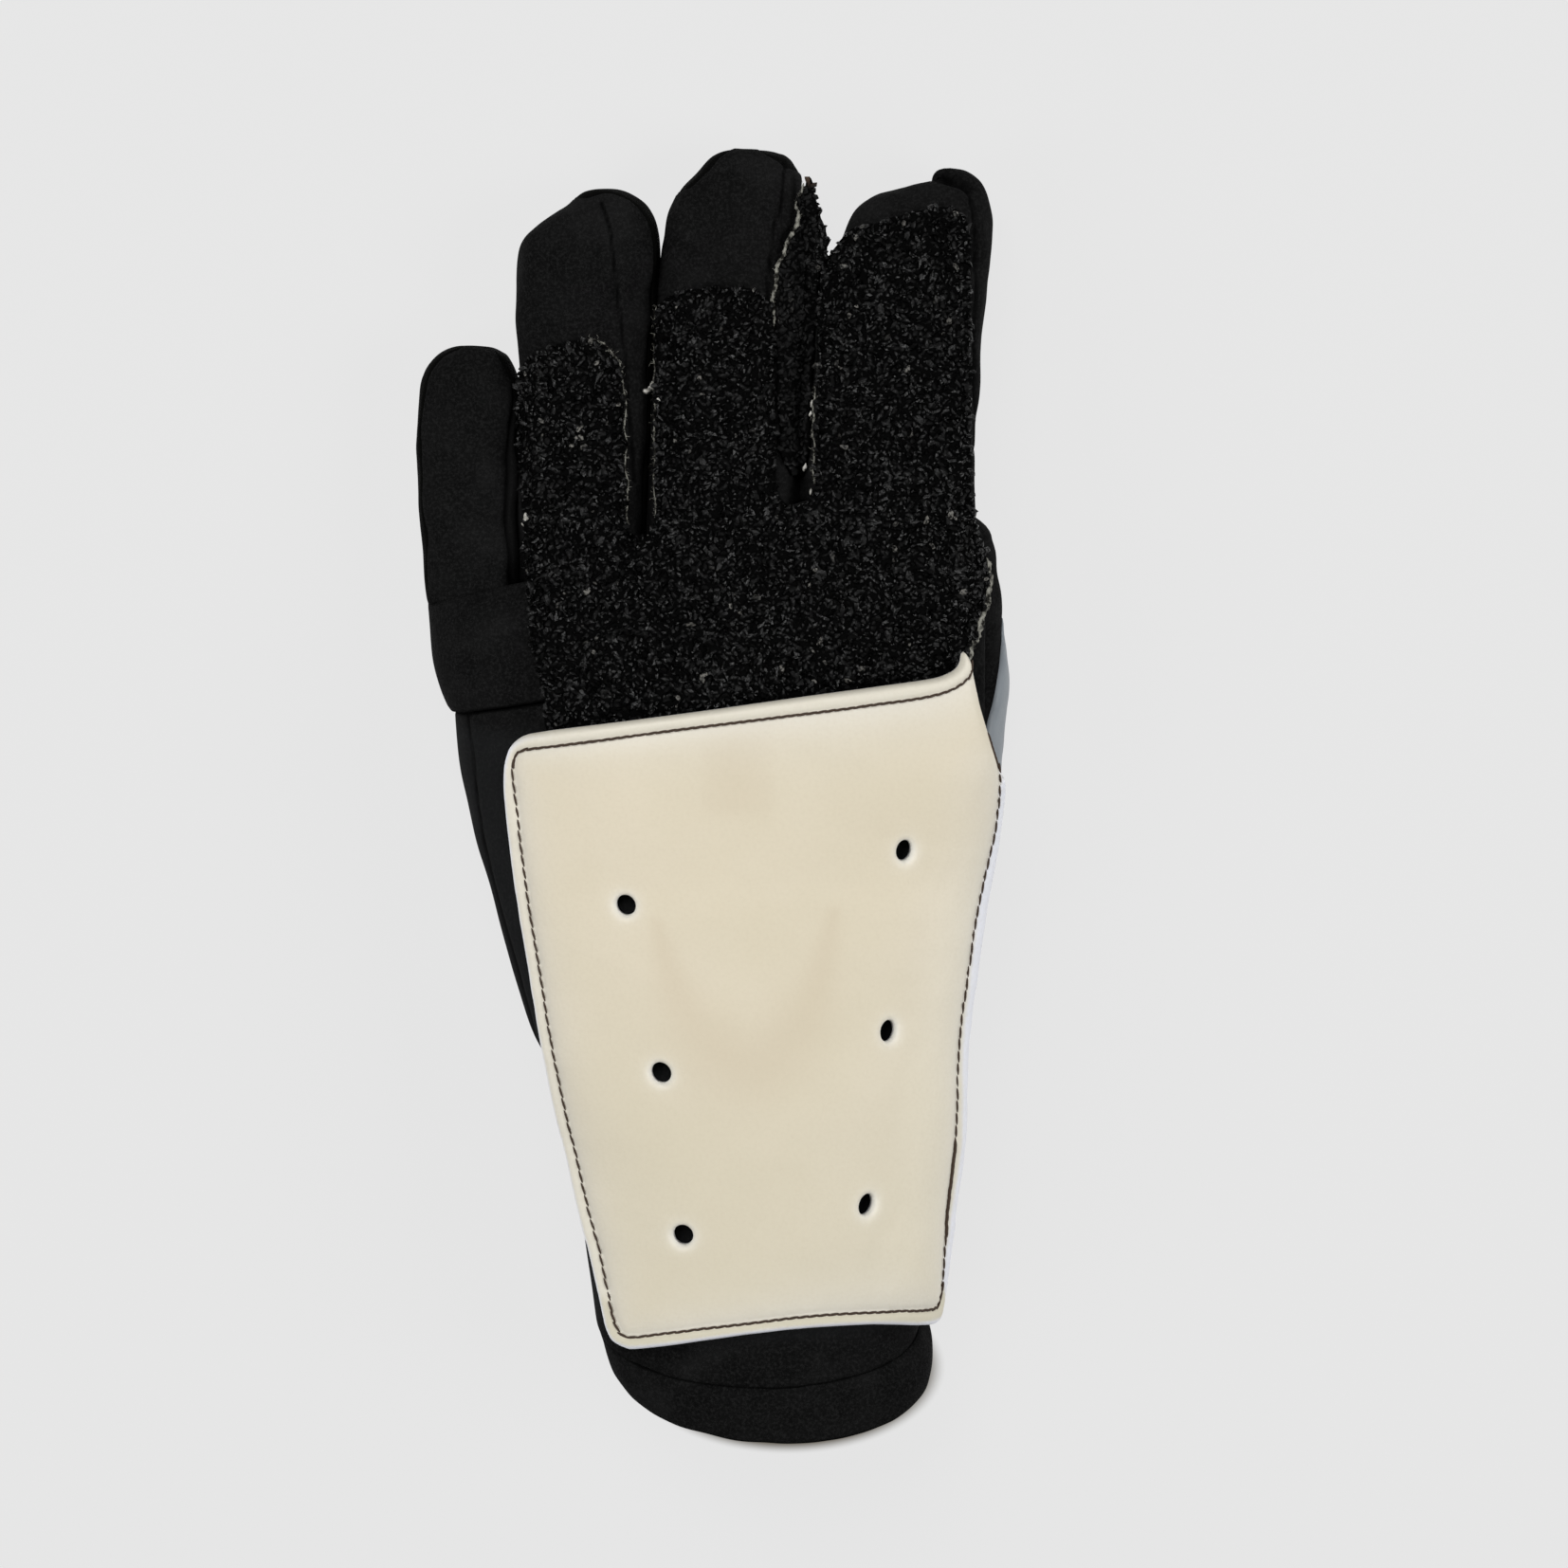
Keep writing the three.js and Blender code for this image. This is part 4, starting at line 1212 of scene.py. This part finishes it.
def pale_cord(line, up, radius, seed, sides=8):
    """Points and faces of a lumpy, tapered strand along a cut edge."""
    count = len(line)
    way = unit(np.gradient(line, axis=0))
    side = unit(np.cross(way, up))
    taper = np.sqrt(np.clip(np.minimum(np.arange(count), np.arange(count)[::-1]) / 6, 0.02, 1))
    turns = np.linspace(0, 2 * math.pi, sides + 1)[:-1, None]
    around = np.cos(turns) * side[:, None] + np.sin(turns) * np.cross(side, way)[:, None]
    lumps = 1 + 0.3 * np.clip(ripple(line[:, None] + around * 3, 1.6, seed), -2, 2)
    skin = line[:, None] + around * (radius * taper[:, None] * lumps)[..., None]
    faces = np.vstack([quads_between(k * sides, (k + 1) * sides, sides) for k in range(count - 1)]).tolist()
    return skin.reshape(-1, 3), [*faces, range(sides)[::-1], range((count - 1) * sides, count * sides)]


def dense(line, up, spacing):
    """A line and its up directions with points closer together."""
    far = length_along(line)
    at = np.linspace(0, far[-1], int(far[-1] / spacing) + 2)
    return read_at(at, far, line), read_at(at, far, up)


# Each light cut edge: the box in plan that it runs through, from left to right and from low to
# high, and how thick its strand is. A side of the box that is 200 off is beyond the glove.
LIGHT_EDGES = {
    "ring_lobe": (-28, -18, 60, 200, 0.13),
    "middle_lobe": (-15, -9, 62, 109, 0.12),
    "index_lobe": (20, 23.6, 69.8, 92, 0.2),
    "palm_side": (55, 200, 30, 54, 0.72),
}
SIDE_EDGE = (-200, 20.9, 104, 136.2, 0.42)
CORD_STEP, CORD_OUT = 0.35, 0.5
fibre_pieces = []


def pale_piece(name, line, up, radius, seed, material):
    """Adds a strand along a line to the pale pieces."""
    points, faces = pale_cord(line, up, radius, seed)
    fibre_pieces.append(make_outward(mesh_object(name, points, faces, material)))


def light_edge(name, loop, up, left, right, low, high, radius, seed):
    """A strand and cut fibres along a stretch of a grip's outline."""
    line, up = dense(*stretch_of(loop, up, left, right, low, high), CORD_STEP)
    line = line + np.cross(up, np.gradient(line, axis=0)) / CORD_STEP * CORD_OUT
    pale_piece(f"{name}_cut_edge", line, up, radius, seed, FIBRE)
    fibre_pieces.append(fibre_edge(f"{name}_fibres", line, up, pitch=0.00022, longest=0.0009, seed=seed))


for number, (name, row) in enumerate(LIGHT_EDGES.items()):
    light_edge(name, grip_loop, grip_up, *row, seed=200 + number)
light_edge("side_grip", side_loop, side_up, *SIDE_EDGE, seed=210)

# White tufts that stand out of the grip: a short line in plan and a radius
TUFTS = [
    ([(-13.6, 92.2), (-13.7, 90.8), (-14.6, 90.0), (-15.4, 89.9)], 0.6),
    ([(-12.5, 88.3), (-11.9, 88.1), (-11.3, 88.0)], 0.6),
    ([(-42.0, 63.0), (-41.8, 61.6), (-42.2, 60.6), (-42.9, 60.3)], 0.6),
    ([(21.9, 88.3), (21.7, 86.7)], 0.42),
    ([(21.7, 85.9), (21.4, 84.6)], 0.46),
    ([(20.6, 74.4), (20.1, 72.4)], 0.42),
    ([(21.7, 69.0), (21.5, 67.6)], 0.34),
]
TUFT_LIFT = 2.2
fingers_under = tree_of(ring_rings, middle_rings, index_rings)
for number, (plan, radius) in enumerate(TUFTS):
    heights = [fingers_under.ray_cast((x, y, ABOVE), DOWN)[0][2] + TUFT_LIFT for x, y in plan]
    line, up = dense(np.column_stack([plan, heights]), np.tile((0.0, 0.0, 1.0), (len(plan), 1)), 0.2)
    pale_piece(f"white_tuft_{number}", line, up, radius, seed=300 + number, material=TUFT)

# The wrist plate

PLATE_ROWS = np.array(sorted(PLATE, key=lambda row: row[1]))
PLATE_Y = np.arange(-128.0, 40.0, 1.0)
PLATE_ANGLES = np.linspace(1.12 * math.pi, -0.3 * math.pi, 400)


def plate_table():
    """For each section of the form: its points, and how far round it from its top each one is."""
    rows = read_at(PLATE_Y, PLATE_ROWS[:, 1], PLATE_ROWS)
    rows[:, 1] = rows[:, 3] = PLATE_Y
    ring = rings_of(rows, PLATE_ANGLES)[..., [0, 2]]
    far = np.array([length_along(section) for section in ring])
    top = np.array([np.interp(-TOP, -PLATE_ANGLES, row) for row in far])
    return ring, far - top[:, None]


PLATE_RING, PLATE_FAR = plate_table()


def on_plate(flat):
    """Where points of the flat pattern, which are how far round and how far along, lie on the form."""
    w, y = np.asarray(flat, float).T
    place = (y - PLATE_Y[0]) / (PLATE_Y[1] - PLATE_Y[0])
    lower = np.clip(place.astype(int), 0, len(PLATE_Y) - 2)
    share = np.clip(place - lower, 0, 1)[:, None]
    out = np.zeros((len(w), 2))
    for row in np.unique(lower):
        here = lower == row
        for k, part in ((row, 1 - share[here]), (row + 1, share[here])):
            out[here] += part * read_at(w[here], PLATE_FAR[k], PLATE_RING[k])
    return np.column_stack([out[:, 0], y, out[:, 1]])


def plate_normals(flat, step=0.3):
    """The outward direction at points of the flat pattern."""
    flat = np.asarray(flat, float)
    side = on_plate(flat + (step, 0)) - on_plate(flat - (step, 0))
    ahead = on_plate(flat + (0, step)) - on_plate(flat - (0, step))
    return unit(np.cross(side, ahead))


# The plate's flat pattern: how far round the form from its top, and how far along
PLATE_EDGE = [
    (-47.9, 7.8), (-48.4, 3.0), (-47.9, -10.0), (-46.2, -33.0), (-44.3, -54.0), (-41.9, -75.6),
    (-36.9, -97.0), (-31.4, -114.4), (-30.2, -118.0), (-28.4, -120.8), (-25.2, -122.2), (-22.0, -122.2),
    (-7.2, -119.5), (3.1, -118.0), (13.5, -117.2), (24.4, -117.3), (32.8, -118.1), (44.8, -120.5),
    (50.6, -121.6), (53.8, -120.9), (55.2, -118.2), (54.4, -108.0), (54.6, -99.0), (57.2, -79.0),
    (58.6, -58.0), (60.6, -38.0), (63.6, -18.0), (66.0, -4.0), (65.6, 1.2), (63.9, 5.6), (62.0, 10.7),
    (60.6, 16.3), (59.3, 22.2), (58.4, 27.0), (57.9, 29.8), (57.2, 31.8), (56.5, 33.0), (55.9, 33.3),
    (55.5, 32.5), (55.2, 31.0), (54.2, 29.6), (52.2, 28.5), (48.5, 27.5), (36.0, 26.0), (19.3, 24.0),
    (-5.7, 20.7), (-30.8, 17.4), (-38.5, 16.2), (-42.4, 15.3), (-45.2, 13.5), (-46.8, 11.2),
]
PLATE_STITCH = [
    (63.3, 6.6), (63.3, 4.0), (62.8, -3.9), (61.8, -9.4), (59.4, -19.5), (57.0, -31.0), (54.8, -45.2),
    (53.6, -56.0), (51.7, -72.4), (50.0, -88.7), (49.4, -98.0), (50.0, -107.0), (51.0, -113.0),
    (51.0, -115.6), (49.6, -117.0), (45.5, -116.7), (35.0, -115.0), (23.3, -114.1), (12.7, -114.2),
    (2.4, -115.2), (-7.8, -116.5), (-18.0, -118.3), (-22.8, -119.2), (-25.0, -119.2), (-26.7, -117.9),
    (-28.5, -114.0), (-32.2, -101.4), (-35.9, -87.8), (-38.4, -75.6), (-40.0, -62.0), (-41.3, -49.2),
    (-43.5, -23.7), (-45.3, 1.9), (-45.5, 7.2), (-45.2, 9.2), (-44.5, 10.9), (-43.4, 11.9), (-42.0, 12.4),
    (-39.6, 12.8), (-29.0, 14.3), (-8.2, 17.2), (12.7, 19.7), (33.8, 22.1), (43.1, 23.1), (49.5, 24.2),
    (53.6, 25.6), (56.2, 27.4), (57.2, 29.0), (57.4, 30.2),
]
SHOULDER_THREAD = [(60.7, 14.4), (61.3, 11.9), (62.2, 8.9), (63.0, 7.2)]
BEYOND_SHOULDER = [(60.0, 31.0), (63.0, 24.0), (66.0, 16.0), (67.0, 9.0)]
# Each hole: how far round, how far along, half its width, half its height and its lean
HOLES = [
    (-21.9, -21.8, 2.1, 2.25, 0.3), (-16.6, -59.0, 2.15, 2.3, 0.3), (-13.7, -95.4, 2.15, 2.3, 0.5),
    (40.1, -10.6, 1.75, 2.4, -0.2), (34.3, -51.2, 1.7, 2.45, -0.25), (26.8, -89.8, 1.65, 2.45, -0.3),
]
# The middle line in plan of the painted shade of a shallow dent, and how wide that shade is
DENT_SHADE_LINE = [
    (-12.2, -26, 1.6), (-8.4, -39, 4.0), (-2.4, -50, 7.0), (8, -57, 9.5), (18.4, -49, 7.0), (23, -38, 4.0),
    (26, -24, 1.6),
]


def closed_curve(points, spacing):
    """Evenly spaced points on a smooth closed curve."""
    ring = smooth_curve([*points[-2:], *points, *points[:3]], 4000)
    start = np.linalg.norm(ring[:1500] - points[0], axis=1).argmin()
    end = 2500 + np.linalg.norm(ring[2500:] - points[0], axis=1).argmin()
    return evenly_round(ring[start : end + 1], spacing)


def beside(loop, distance, closed=True):
    """A row of points at a distance to the left of a line's way, without those that crowd a corner."""
    before, after = (np.roll(loop, 1, 0), np.roll(loop, -1, 0)) if closed else (loop[:-2], loop[2:])
    way = unit(after - before)
    row = (loop if closed else loop[1:-1]) + distance * np.column_stack([-way[:, 1], way[:, 0]])
    return row[distance_to(row, loop, closed) > abs(distance) * 0.93]


def spread_out(points, apart):
    """Points without those nearer than a distance to an earlier one."""
    tree, kept = KDTree(len(points)), np.ones(len(points), bool)
    for k, (x, y) in enumerate(points):
        tree.insert((x, y, 0), k)
    tree.balance()
    for k, (x, y) in enumerate(points):
        if kept[k]:
            for _, other, _ in tree.find_range((x, y, 0), apart):
                kept[other] = kept[other] and other <= k
    return points[kept]


def hole_loop(hole, out=0.0):
    """Points round a hole, or at a distance outside it."""
    w, y, half_wide, half_high, lean = hole
    turns = np.linspace(0, 2 * math.pi, 37)[:-1]
    a, b = (half_wide + out) * np.cos(turns), (half_high + out) * np.sin(turns)
    c, s = math.cos(lean), math.sin(lean)
    return np.column_stack([w + a * c - b * s, y + a * s + b * c])


# Distances beside the plate's edge, its stitch line and its holes where its surface bends
BENDS_AT_EDGE = (0.18, 0.45, 0.8, 1.2, 1.7, 2.3)
BENDS_AT_STITCHES = (0, -0.45, 0.45, -0.95, 0.95, -1.6, 1.6, -2.4, 2.4)
BENDS_AT_HOLES = (0.2, 0.45, 0.8, 1.2, 1.8, 2.6)


def points_at_bends(outline, sewn_line, holes, apart=0.22, off_edge=0.15):
    """Rows of points for the plate's mesh where its surface bends."""
    rows = [beside(outline, d) for d in BENDS_AT_EDGE]
    rows += [beside(sewn_line[::2], d, False) for d in BENDS_AT_STITCHES]
    rows += [hole_loop(hole, out) for hole in HOLES for out in BENDS_AT_HOLES]
    points = np.vstack(rows)
    points = points[inside(points, outline)]
    points = points[distance_to(points, outline, True) > off_edge]
    for hole in holes:
        points = points[~inside(points, hole) & (distance_to(points, hole, True) > off_edge)]
    return spread_out(points, apart)


def make_plate():
    """The plate's padded skin, and its line of stitches and its loose thread laid on that skin."""
    outline = closed_curve(PLATE_EDGE, 0.7)
    sewn_line = smooth_curve(PLATE_STITCH, 900)
    holes = [hole_loop(hole) for hole in HOLES]
    flat, faces = filled(outline, 1.7, holes, points_at_bends(outline, sewn_line, holes))
    edge, sewn = distance_to(flat, outline, True), distance_to(flat, sewn_line)
    hole = np.min([distance_to(flat, loop, True) for loop in holes], axis=0)
    within = inside(flat, np.vstack([sewn_line, BEYOND_SHOULDER]))
    base, normal = on_plate(flat), plate_normals(flat)
    thick = plate_thickness(edge, sewn, hole, within)
    thick += rippled(base, 101, (0.14, 24), (0.03, 5))
    top = base + normal * thick[:, None]
    piece = slab("wrist_plate_skin", top, base + normal * 0.2, faces, CREAM)
    keep_tones(piece, flat, base, edge, sewn, hole, within)
    skin = BVHTree.FromPolygons(top.tolist(), faces.tolist())

    def seated(line, beyond_skin=1.6, clear=0.12):
        """A line of the pattern laid on the plate's skin, and the way up there."""
        up, base = plate_normals(line), on_plate(line)
        seats = [skin.ray_cast(Vector(p), Vector(n)) for p, n in zip(base, up)]
        far = np.array([beyond_skin if seat[0] is None else seat[3] for seat in seats])
        return base + up * (far[:, None] + clear), up

    return piece, seated(smooth_curve(PLATE_STITCH, 1400)), seated(smooth_curve(SHOULDER_THREAD, 60))


def quarter_round(distance, radius):
    """How far up a quarter circle rises at a distance from its foot, as a share of its height."""
    return np.sqrt(1 - (1 - np.clip(distance / radius, 0, 1)) ** 2)


def plate_thickness(edge, sewn, hole, within):
    """Thin where it is sewn, puffed up inside the stitches, and rolled beyond them and at the holes."""
    at_edge, at_stitches, roll, puff, hole_round = 0.7, 1.9, 1.05, 1.35, 1.5
    share = edge / np.maximum(edge + sewn, 1e-6)
    margin = at_stitches + roll * (4 * share * (1 - share)) ** 0.6
    puffed = at_stitches + puff * (1 - np.exp(-sewn / 2.2))
    thick = np.where(within, puffed, margin)
    thick = at_edge + (thick - at_edge) * quarter_round(edge, np.where(within, 2.6, 1.2))
    return thick - hole_round * (1 - quarter_round(hole, hole_round))


def keep_tones(piece, flat, base, edge, sewn, hole, within):
    """Keeps the numbers from 0 to 1 that the plate's material reads, for its top and its underside."""
    # The painted shade of a shallow dent along a U-shaped line; the band across the top, added to it, is a
    # real brownish stain
    dent_line = smooth_curve(DENT_SHADE_LINE, 60)
    dent_shade_and_stain = hump(np.linalg.norm(base[:, None, :2] - dent_line[:, :2], axis=-1), dent_line[:, 2]).max(1)
    band = np.clip(1 - abs(base[:, 0] - 5.2) / 8, 0, 1) ** 0.3 * np.clip((base[:, 1] + 3.5) / 4, 0, 1)
    # Paler just inside the stitches: partly the plate's own whiter edge, partly painted light where the
    # plate turns away from the lamps, wider on the right
    pale_edge_and_painted_light = np.exp(-sewn / np.interp(flat[:, 0], [-25, 25], [3.0, 6.0]))
    rolled = np.interp(flat[:, 0], [42, 50], [0, 1]) * np.interp(flat[:, 1], [-116, -111], [0.2, 1])
    whiter = 1 - np.clip((edge - 0.9 - 2.8 * rolled) / (0.5 + 0.5 * rolled), 0, 1)
    not_top = np.clip((16 - flat[:, 1]) / 4, 0, 1)
    tones = {
        "dent_shade_and_stain": ((dent_shade_and_stain + 0.75 * band) * within, 0),
        "margin": (~within, 1),
        "pale_edge_and_painted_light": (pale_edge_and_painted_light * within, 0),
        "rim": (np.exp(-hole / 0.8), 0),
        "cut": (whiter * not_top * ~within, 1),
    }
    for name, (top, underside) in tones.items():
        keep_number(piece, name, np.r_[top, np.full(len(flat), underside)])


plate, (stitch_line, stitch_up), shoulder_thread = make_plate()
row_x, row_y = stitch_line[:, 0], stitch_line[:, 1]
# Each row: its name, which points of the line it takes, then pitch, length and width of a stitch
ROWS = [
    ("right_stitches", (row_x > 0) & (row_y > -113) & (row_y < 9.3), 0.0028, 0.0030, 0.00052),
    ("thick_stitches", (row_x > 40) & (row_y > -100) & (row_y < -79.5), 0.0012, 0.0028, 0.00088),
    ("bottom_stitches", row_y < -112.8, 0.0023, 0.0030, 0.00060),
    ("left_stitches", (row_x < 0) & (row_y > -113) & (row_y < 9.3), 0.0028, 0.0030, 0.00052),
    ("top_stitches", row_y > 9.2, 0.0021, 0.0030, 0.00064),
]
sewing = [stitches(name, stitch_line[at], stitch_up[at], *sizes) for name, at, *sizes in ROWS]
sewing.append(stitches("shoulder_stitches", *shoulder_thread, pitch=0.0012, length=0.0026, width=0.00066))

# The thumb's smooth panel

THUMB_PANEL_EDGE = [(60.0, -15), (60.2, 4), (61.2, 13), (62.9, 20), (64.2, 27), (65.0, 33), (65.6, 38)]
# The place round a thumb ring, counted in points, where its side is widest
THUMB_SIDE = 22


def make_thumb_panel(across=22):
    """The panel lies on the thumb between its upper edge, which is a line in plan, and the surface below."""
    edge = smooth_curve(THUMB_PANEL_EDGE, 80)
    normal = outward(thumb_rings)
    half = thumb_rings.shape[1] // 2
    rows = []
    for ring, up in zip(thumb_rings, normal):
        y = ring[half // 2, 1]
        if not edge[0, 1] < y < edge[-1, 1]:
            continue
        side, way = ring[: half + 1], up[: half + 1]
        place = np.arange(half + 1)
        widest = int(side[:, 0].argmax())
        limit = np.interp(y, edge[:, 1], edge[:, 0])
        top = np.interp(-limit, -side[widest:, 0], place[widest:])
        low = np.interp(2.0, side[: widest + 1, 2], place[: widest + 1])
        round_end = quarter_round(edge[-1, 1] - y, 9)
        low = THUMB_SIDE - (THUMB_SIDE - low) * round_end
        top = THUMB_SIDE + max(top - THUMB_SIDE, 3) * round_end
        at = np.linspace(low, max(top, low + 0.5), across)
        rows.append((read_at(at, place, side), read_at(at, place, way)))
    skin, up = np.array(rows).swapaxes(0, 1)
    count = len(rows)
    steps = np.minimum(np.minimum(np.arange(count), np.arange(count)[::-1])[:, None] * 0.15, 3)
    away = np.minimum(np.arange(across), np.arange(across)[::-1])[None] * 0.6
    rise = np.sqrt(np.clip(np.minimum(steps, away) / 1.2, 0, 1))
    place = np.arange(count * across).reshape(count, across)
    corners = [place[:-1, :-1], place[:-1, 1:], place[1:, 1:], place[1:, :-1]]
    a, b, c, d = (corner.ravel() for corner in corners)
    triangles = np.vstack([np.stack([a, b, c], axis=1), np.stack([a, c, d], axis=1)])
    points, up = skin.reshape(-1, 3), up.reshape(-1, 3)
    top = points + up * (0.25 + 0.8 * rise.reshape(-1, 1))
    return slab("thumb_smooth_panel", top, points + up * 0.1, triangles, GREY)


thumb_panel = make_thumb_panel()

# Riding: each piece rides on the body and hides the parts it stands for

DRESSING = [
    (little, ["finger_little"], "black_fabric"),
    (ring, ["finger_ring"], "black_fabric"),
    (middle, ["finger_middle"], "black_fabric"),
    (index, ["finger_index"], "black_fabric"),
    (thumb, ["thumb"], "black_fabric"),
    (hand, ["hand"], "black_fabric"),
    (gauntlet, ["gauntlet"], "black_fabric"),
    (cuff, ["cuff_band"], "black_fabric"),
    (grip, ["grip_panel"], "black_grip"),
    (side_grip, ["side_grip"], "black_grip"),
    (plate, ["wrist_plate"], "cream_plate"),
    (thumb_panel, ["thumb_panel"], "grey_panel"),
    (hand_grit, [], "black_grip"),
    (finger_grit, [], "black_grip"),
    (side_grit, [], "black_grip"),
    *[(row, [], "cream_plate") for row in sewing],
    *[(piece, [], "black_grip") for piece in fibre_pieces],
]
for piece, nodes, slot in DRESSING:
    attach(piece, BODY)
    if nodes:
        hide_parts(*nodes)

CLOTH = [
    (little, 0.084, 0.062),
    (ring, 0.100, 0.092),
    (middle, 0.104, 0.094),
    (index, 0.104, 0.076),
    (thumb, 0.080, 0.112),
    (hand, 0.290, 0.034),
    (gauntlet, 0.265, 0.155),
    (cuff, 0.215, 0.012),
    (grip, 0.108, 0.119),
    (side_grip, 0.012, 0.075),
    (thumb_panel, 0.020, 0.055),
]
for piece, width, length in CLOTH:
    on = piece in (grip, side_grip)

# Floor, light and camera

FLOOR_HALF = 1500
# The painted soft shadow where the cuff meets the floor, in metres
CUFF_SHADOW_MIDDLE, CUFF_SHADOW_HALF = (0.0165, -0.1409), (0.0325, 0.0185)


def pale_floor():
    """A floor that looks evenly lit, but for a painted soft shadow under the cuff."""
    f = Finish("pale floor", roughness=0.9, Specular_IOR_Level=0.1, Emission_Strength=0.742)
    f.shader.inputs["Base Color"].default_value = (0.05, 0.05, 0.05, 1)
    x, y, _ = f.place().parts()
    across, along = (x - CUFF_SHADOW_MIDDLE[0]) / CUFF_SHADOW_HALF[0], (y - CUFF_SHADOW_MIDDLE[1]) / CUFF_SHADOW_HALF[1]
    far = (across**2.0 + along**2.0) ** 0.5
    # Painted shadow: the floor's glow is darkened near the cuff
    painted_cuff_shadow = f.mix(far.between(0.98, 1.16), colour(88, 78, 56), (1.0, 1.0, 1.0))
    f.feed("Emission Color", painted_cuff_shadow)
    corners = [(a * FLOOR_HALF, b * FLOOR_HALF, 0) for a, b in ((-1, -1), (1, -1), (1, 1), (-1, 1))]
    mesh_object("floor", corners, [(0, 1, 2, 3)], f.material)


def softbox(name, place, watts, size=0.7, aim=(0.0, 0.0, 0.03)):
    """A square light at a place in metres that faces the glove."""
    light = bpy.data.lights.new(name, "AREA")
    light.shape, light.size, light.energy = "SQUARE", size, watts
    lamp = in_scene(name, light)
    lamp.location = place
    lamp.rotation_euler = (Vector(aim) - Vector(place)).to_track_quat("-Z", "Y").to_euler()


pale_floor()
softbox("high softbox", (-0.25, 0.75, 1.2), watts=10.4)
softbox("right softbox", (1.15, -0.1, 1.0), watts=11.0)
softbox("left softbox", (-1.1, -0.4, 0.95), watts=7.5)
world = bpy.data.worlds.new("studio")
bpy.context.scene.world = world
world.use_nodes = True
world.node_tree.nodes["Background"].inputs["Color"].default_value = (1, 1, 1, 1)
world.node_tree.nodes["Background"].inputs["Strength"].default_value = 0.10

CAMERA_TILT = math.radians(8)
CAMERA_AIM = (0.0157, 0.0023, 0.030)
CAMERA_DISTANCE = 0.95
PICTURE_SIDE, LENS_LENGTH = 1654, 4465  # both in pixels
eye = bpy.data.cameras.new("camera")
eye.angle = 2 * math.atan(PICTURE_SIDE / 2 / LENS_LENGTH)
eye.sensor_fit = "AUTO"
eye.clip_start = 0.05
camera = in_scene("camera", eye)
camera.location = (
    CAMERA_AIM[0],
    CAMERA_AIM[1] + CAMERA_DISTANCE * math.sin(CAMERA_TILT),
    CAMERA_AIM[2] + CAMERA_DISTANCE * math.cos(CAMERA_TILT),
)
camera.rotation_euler = (-CAMERA_TILT, 0, 0)
bpy.context.scene.camera = camera
bpy.context.scene.view_settings.view_transform = "Standard"

bpy.context.view_layer.update()
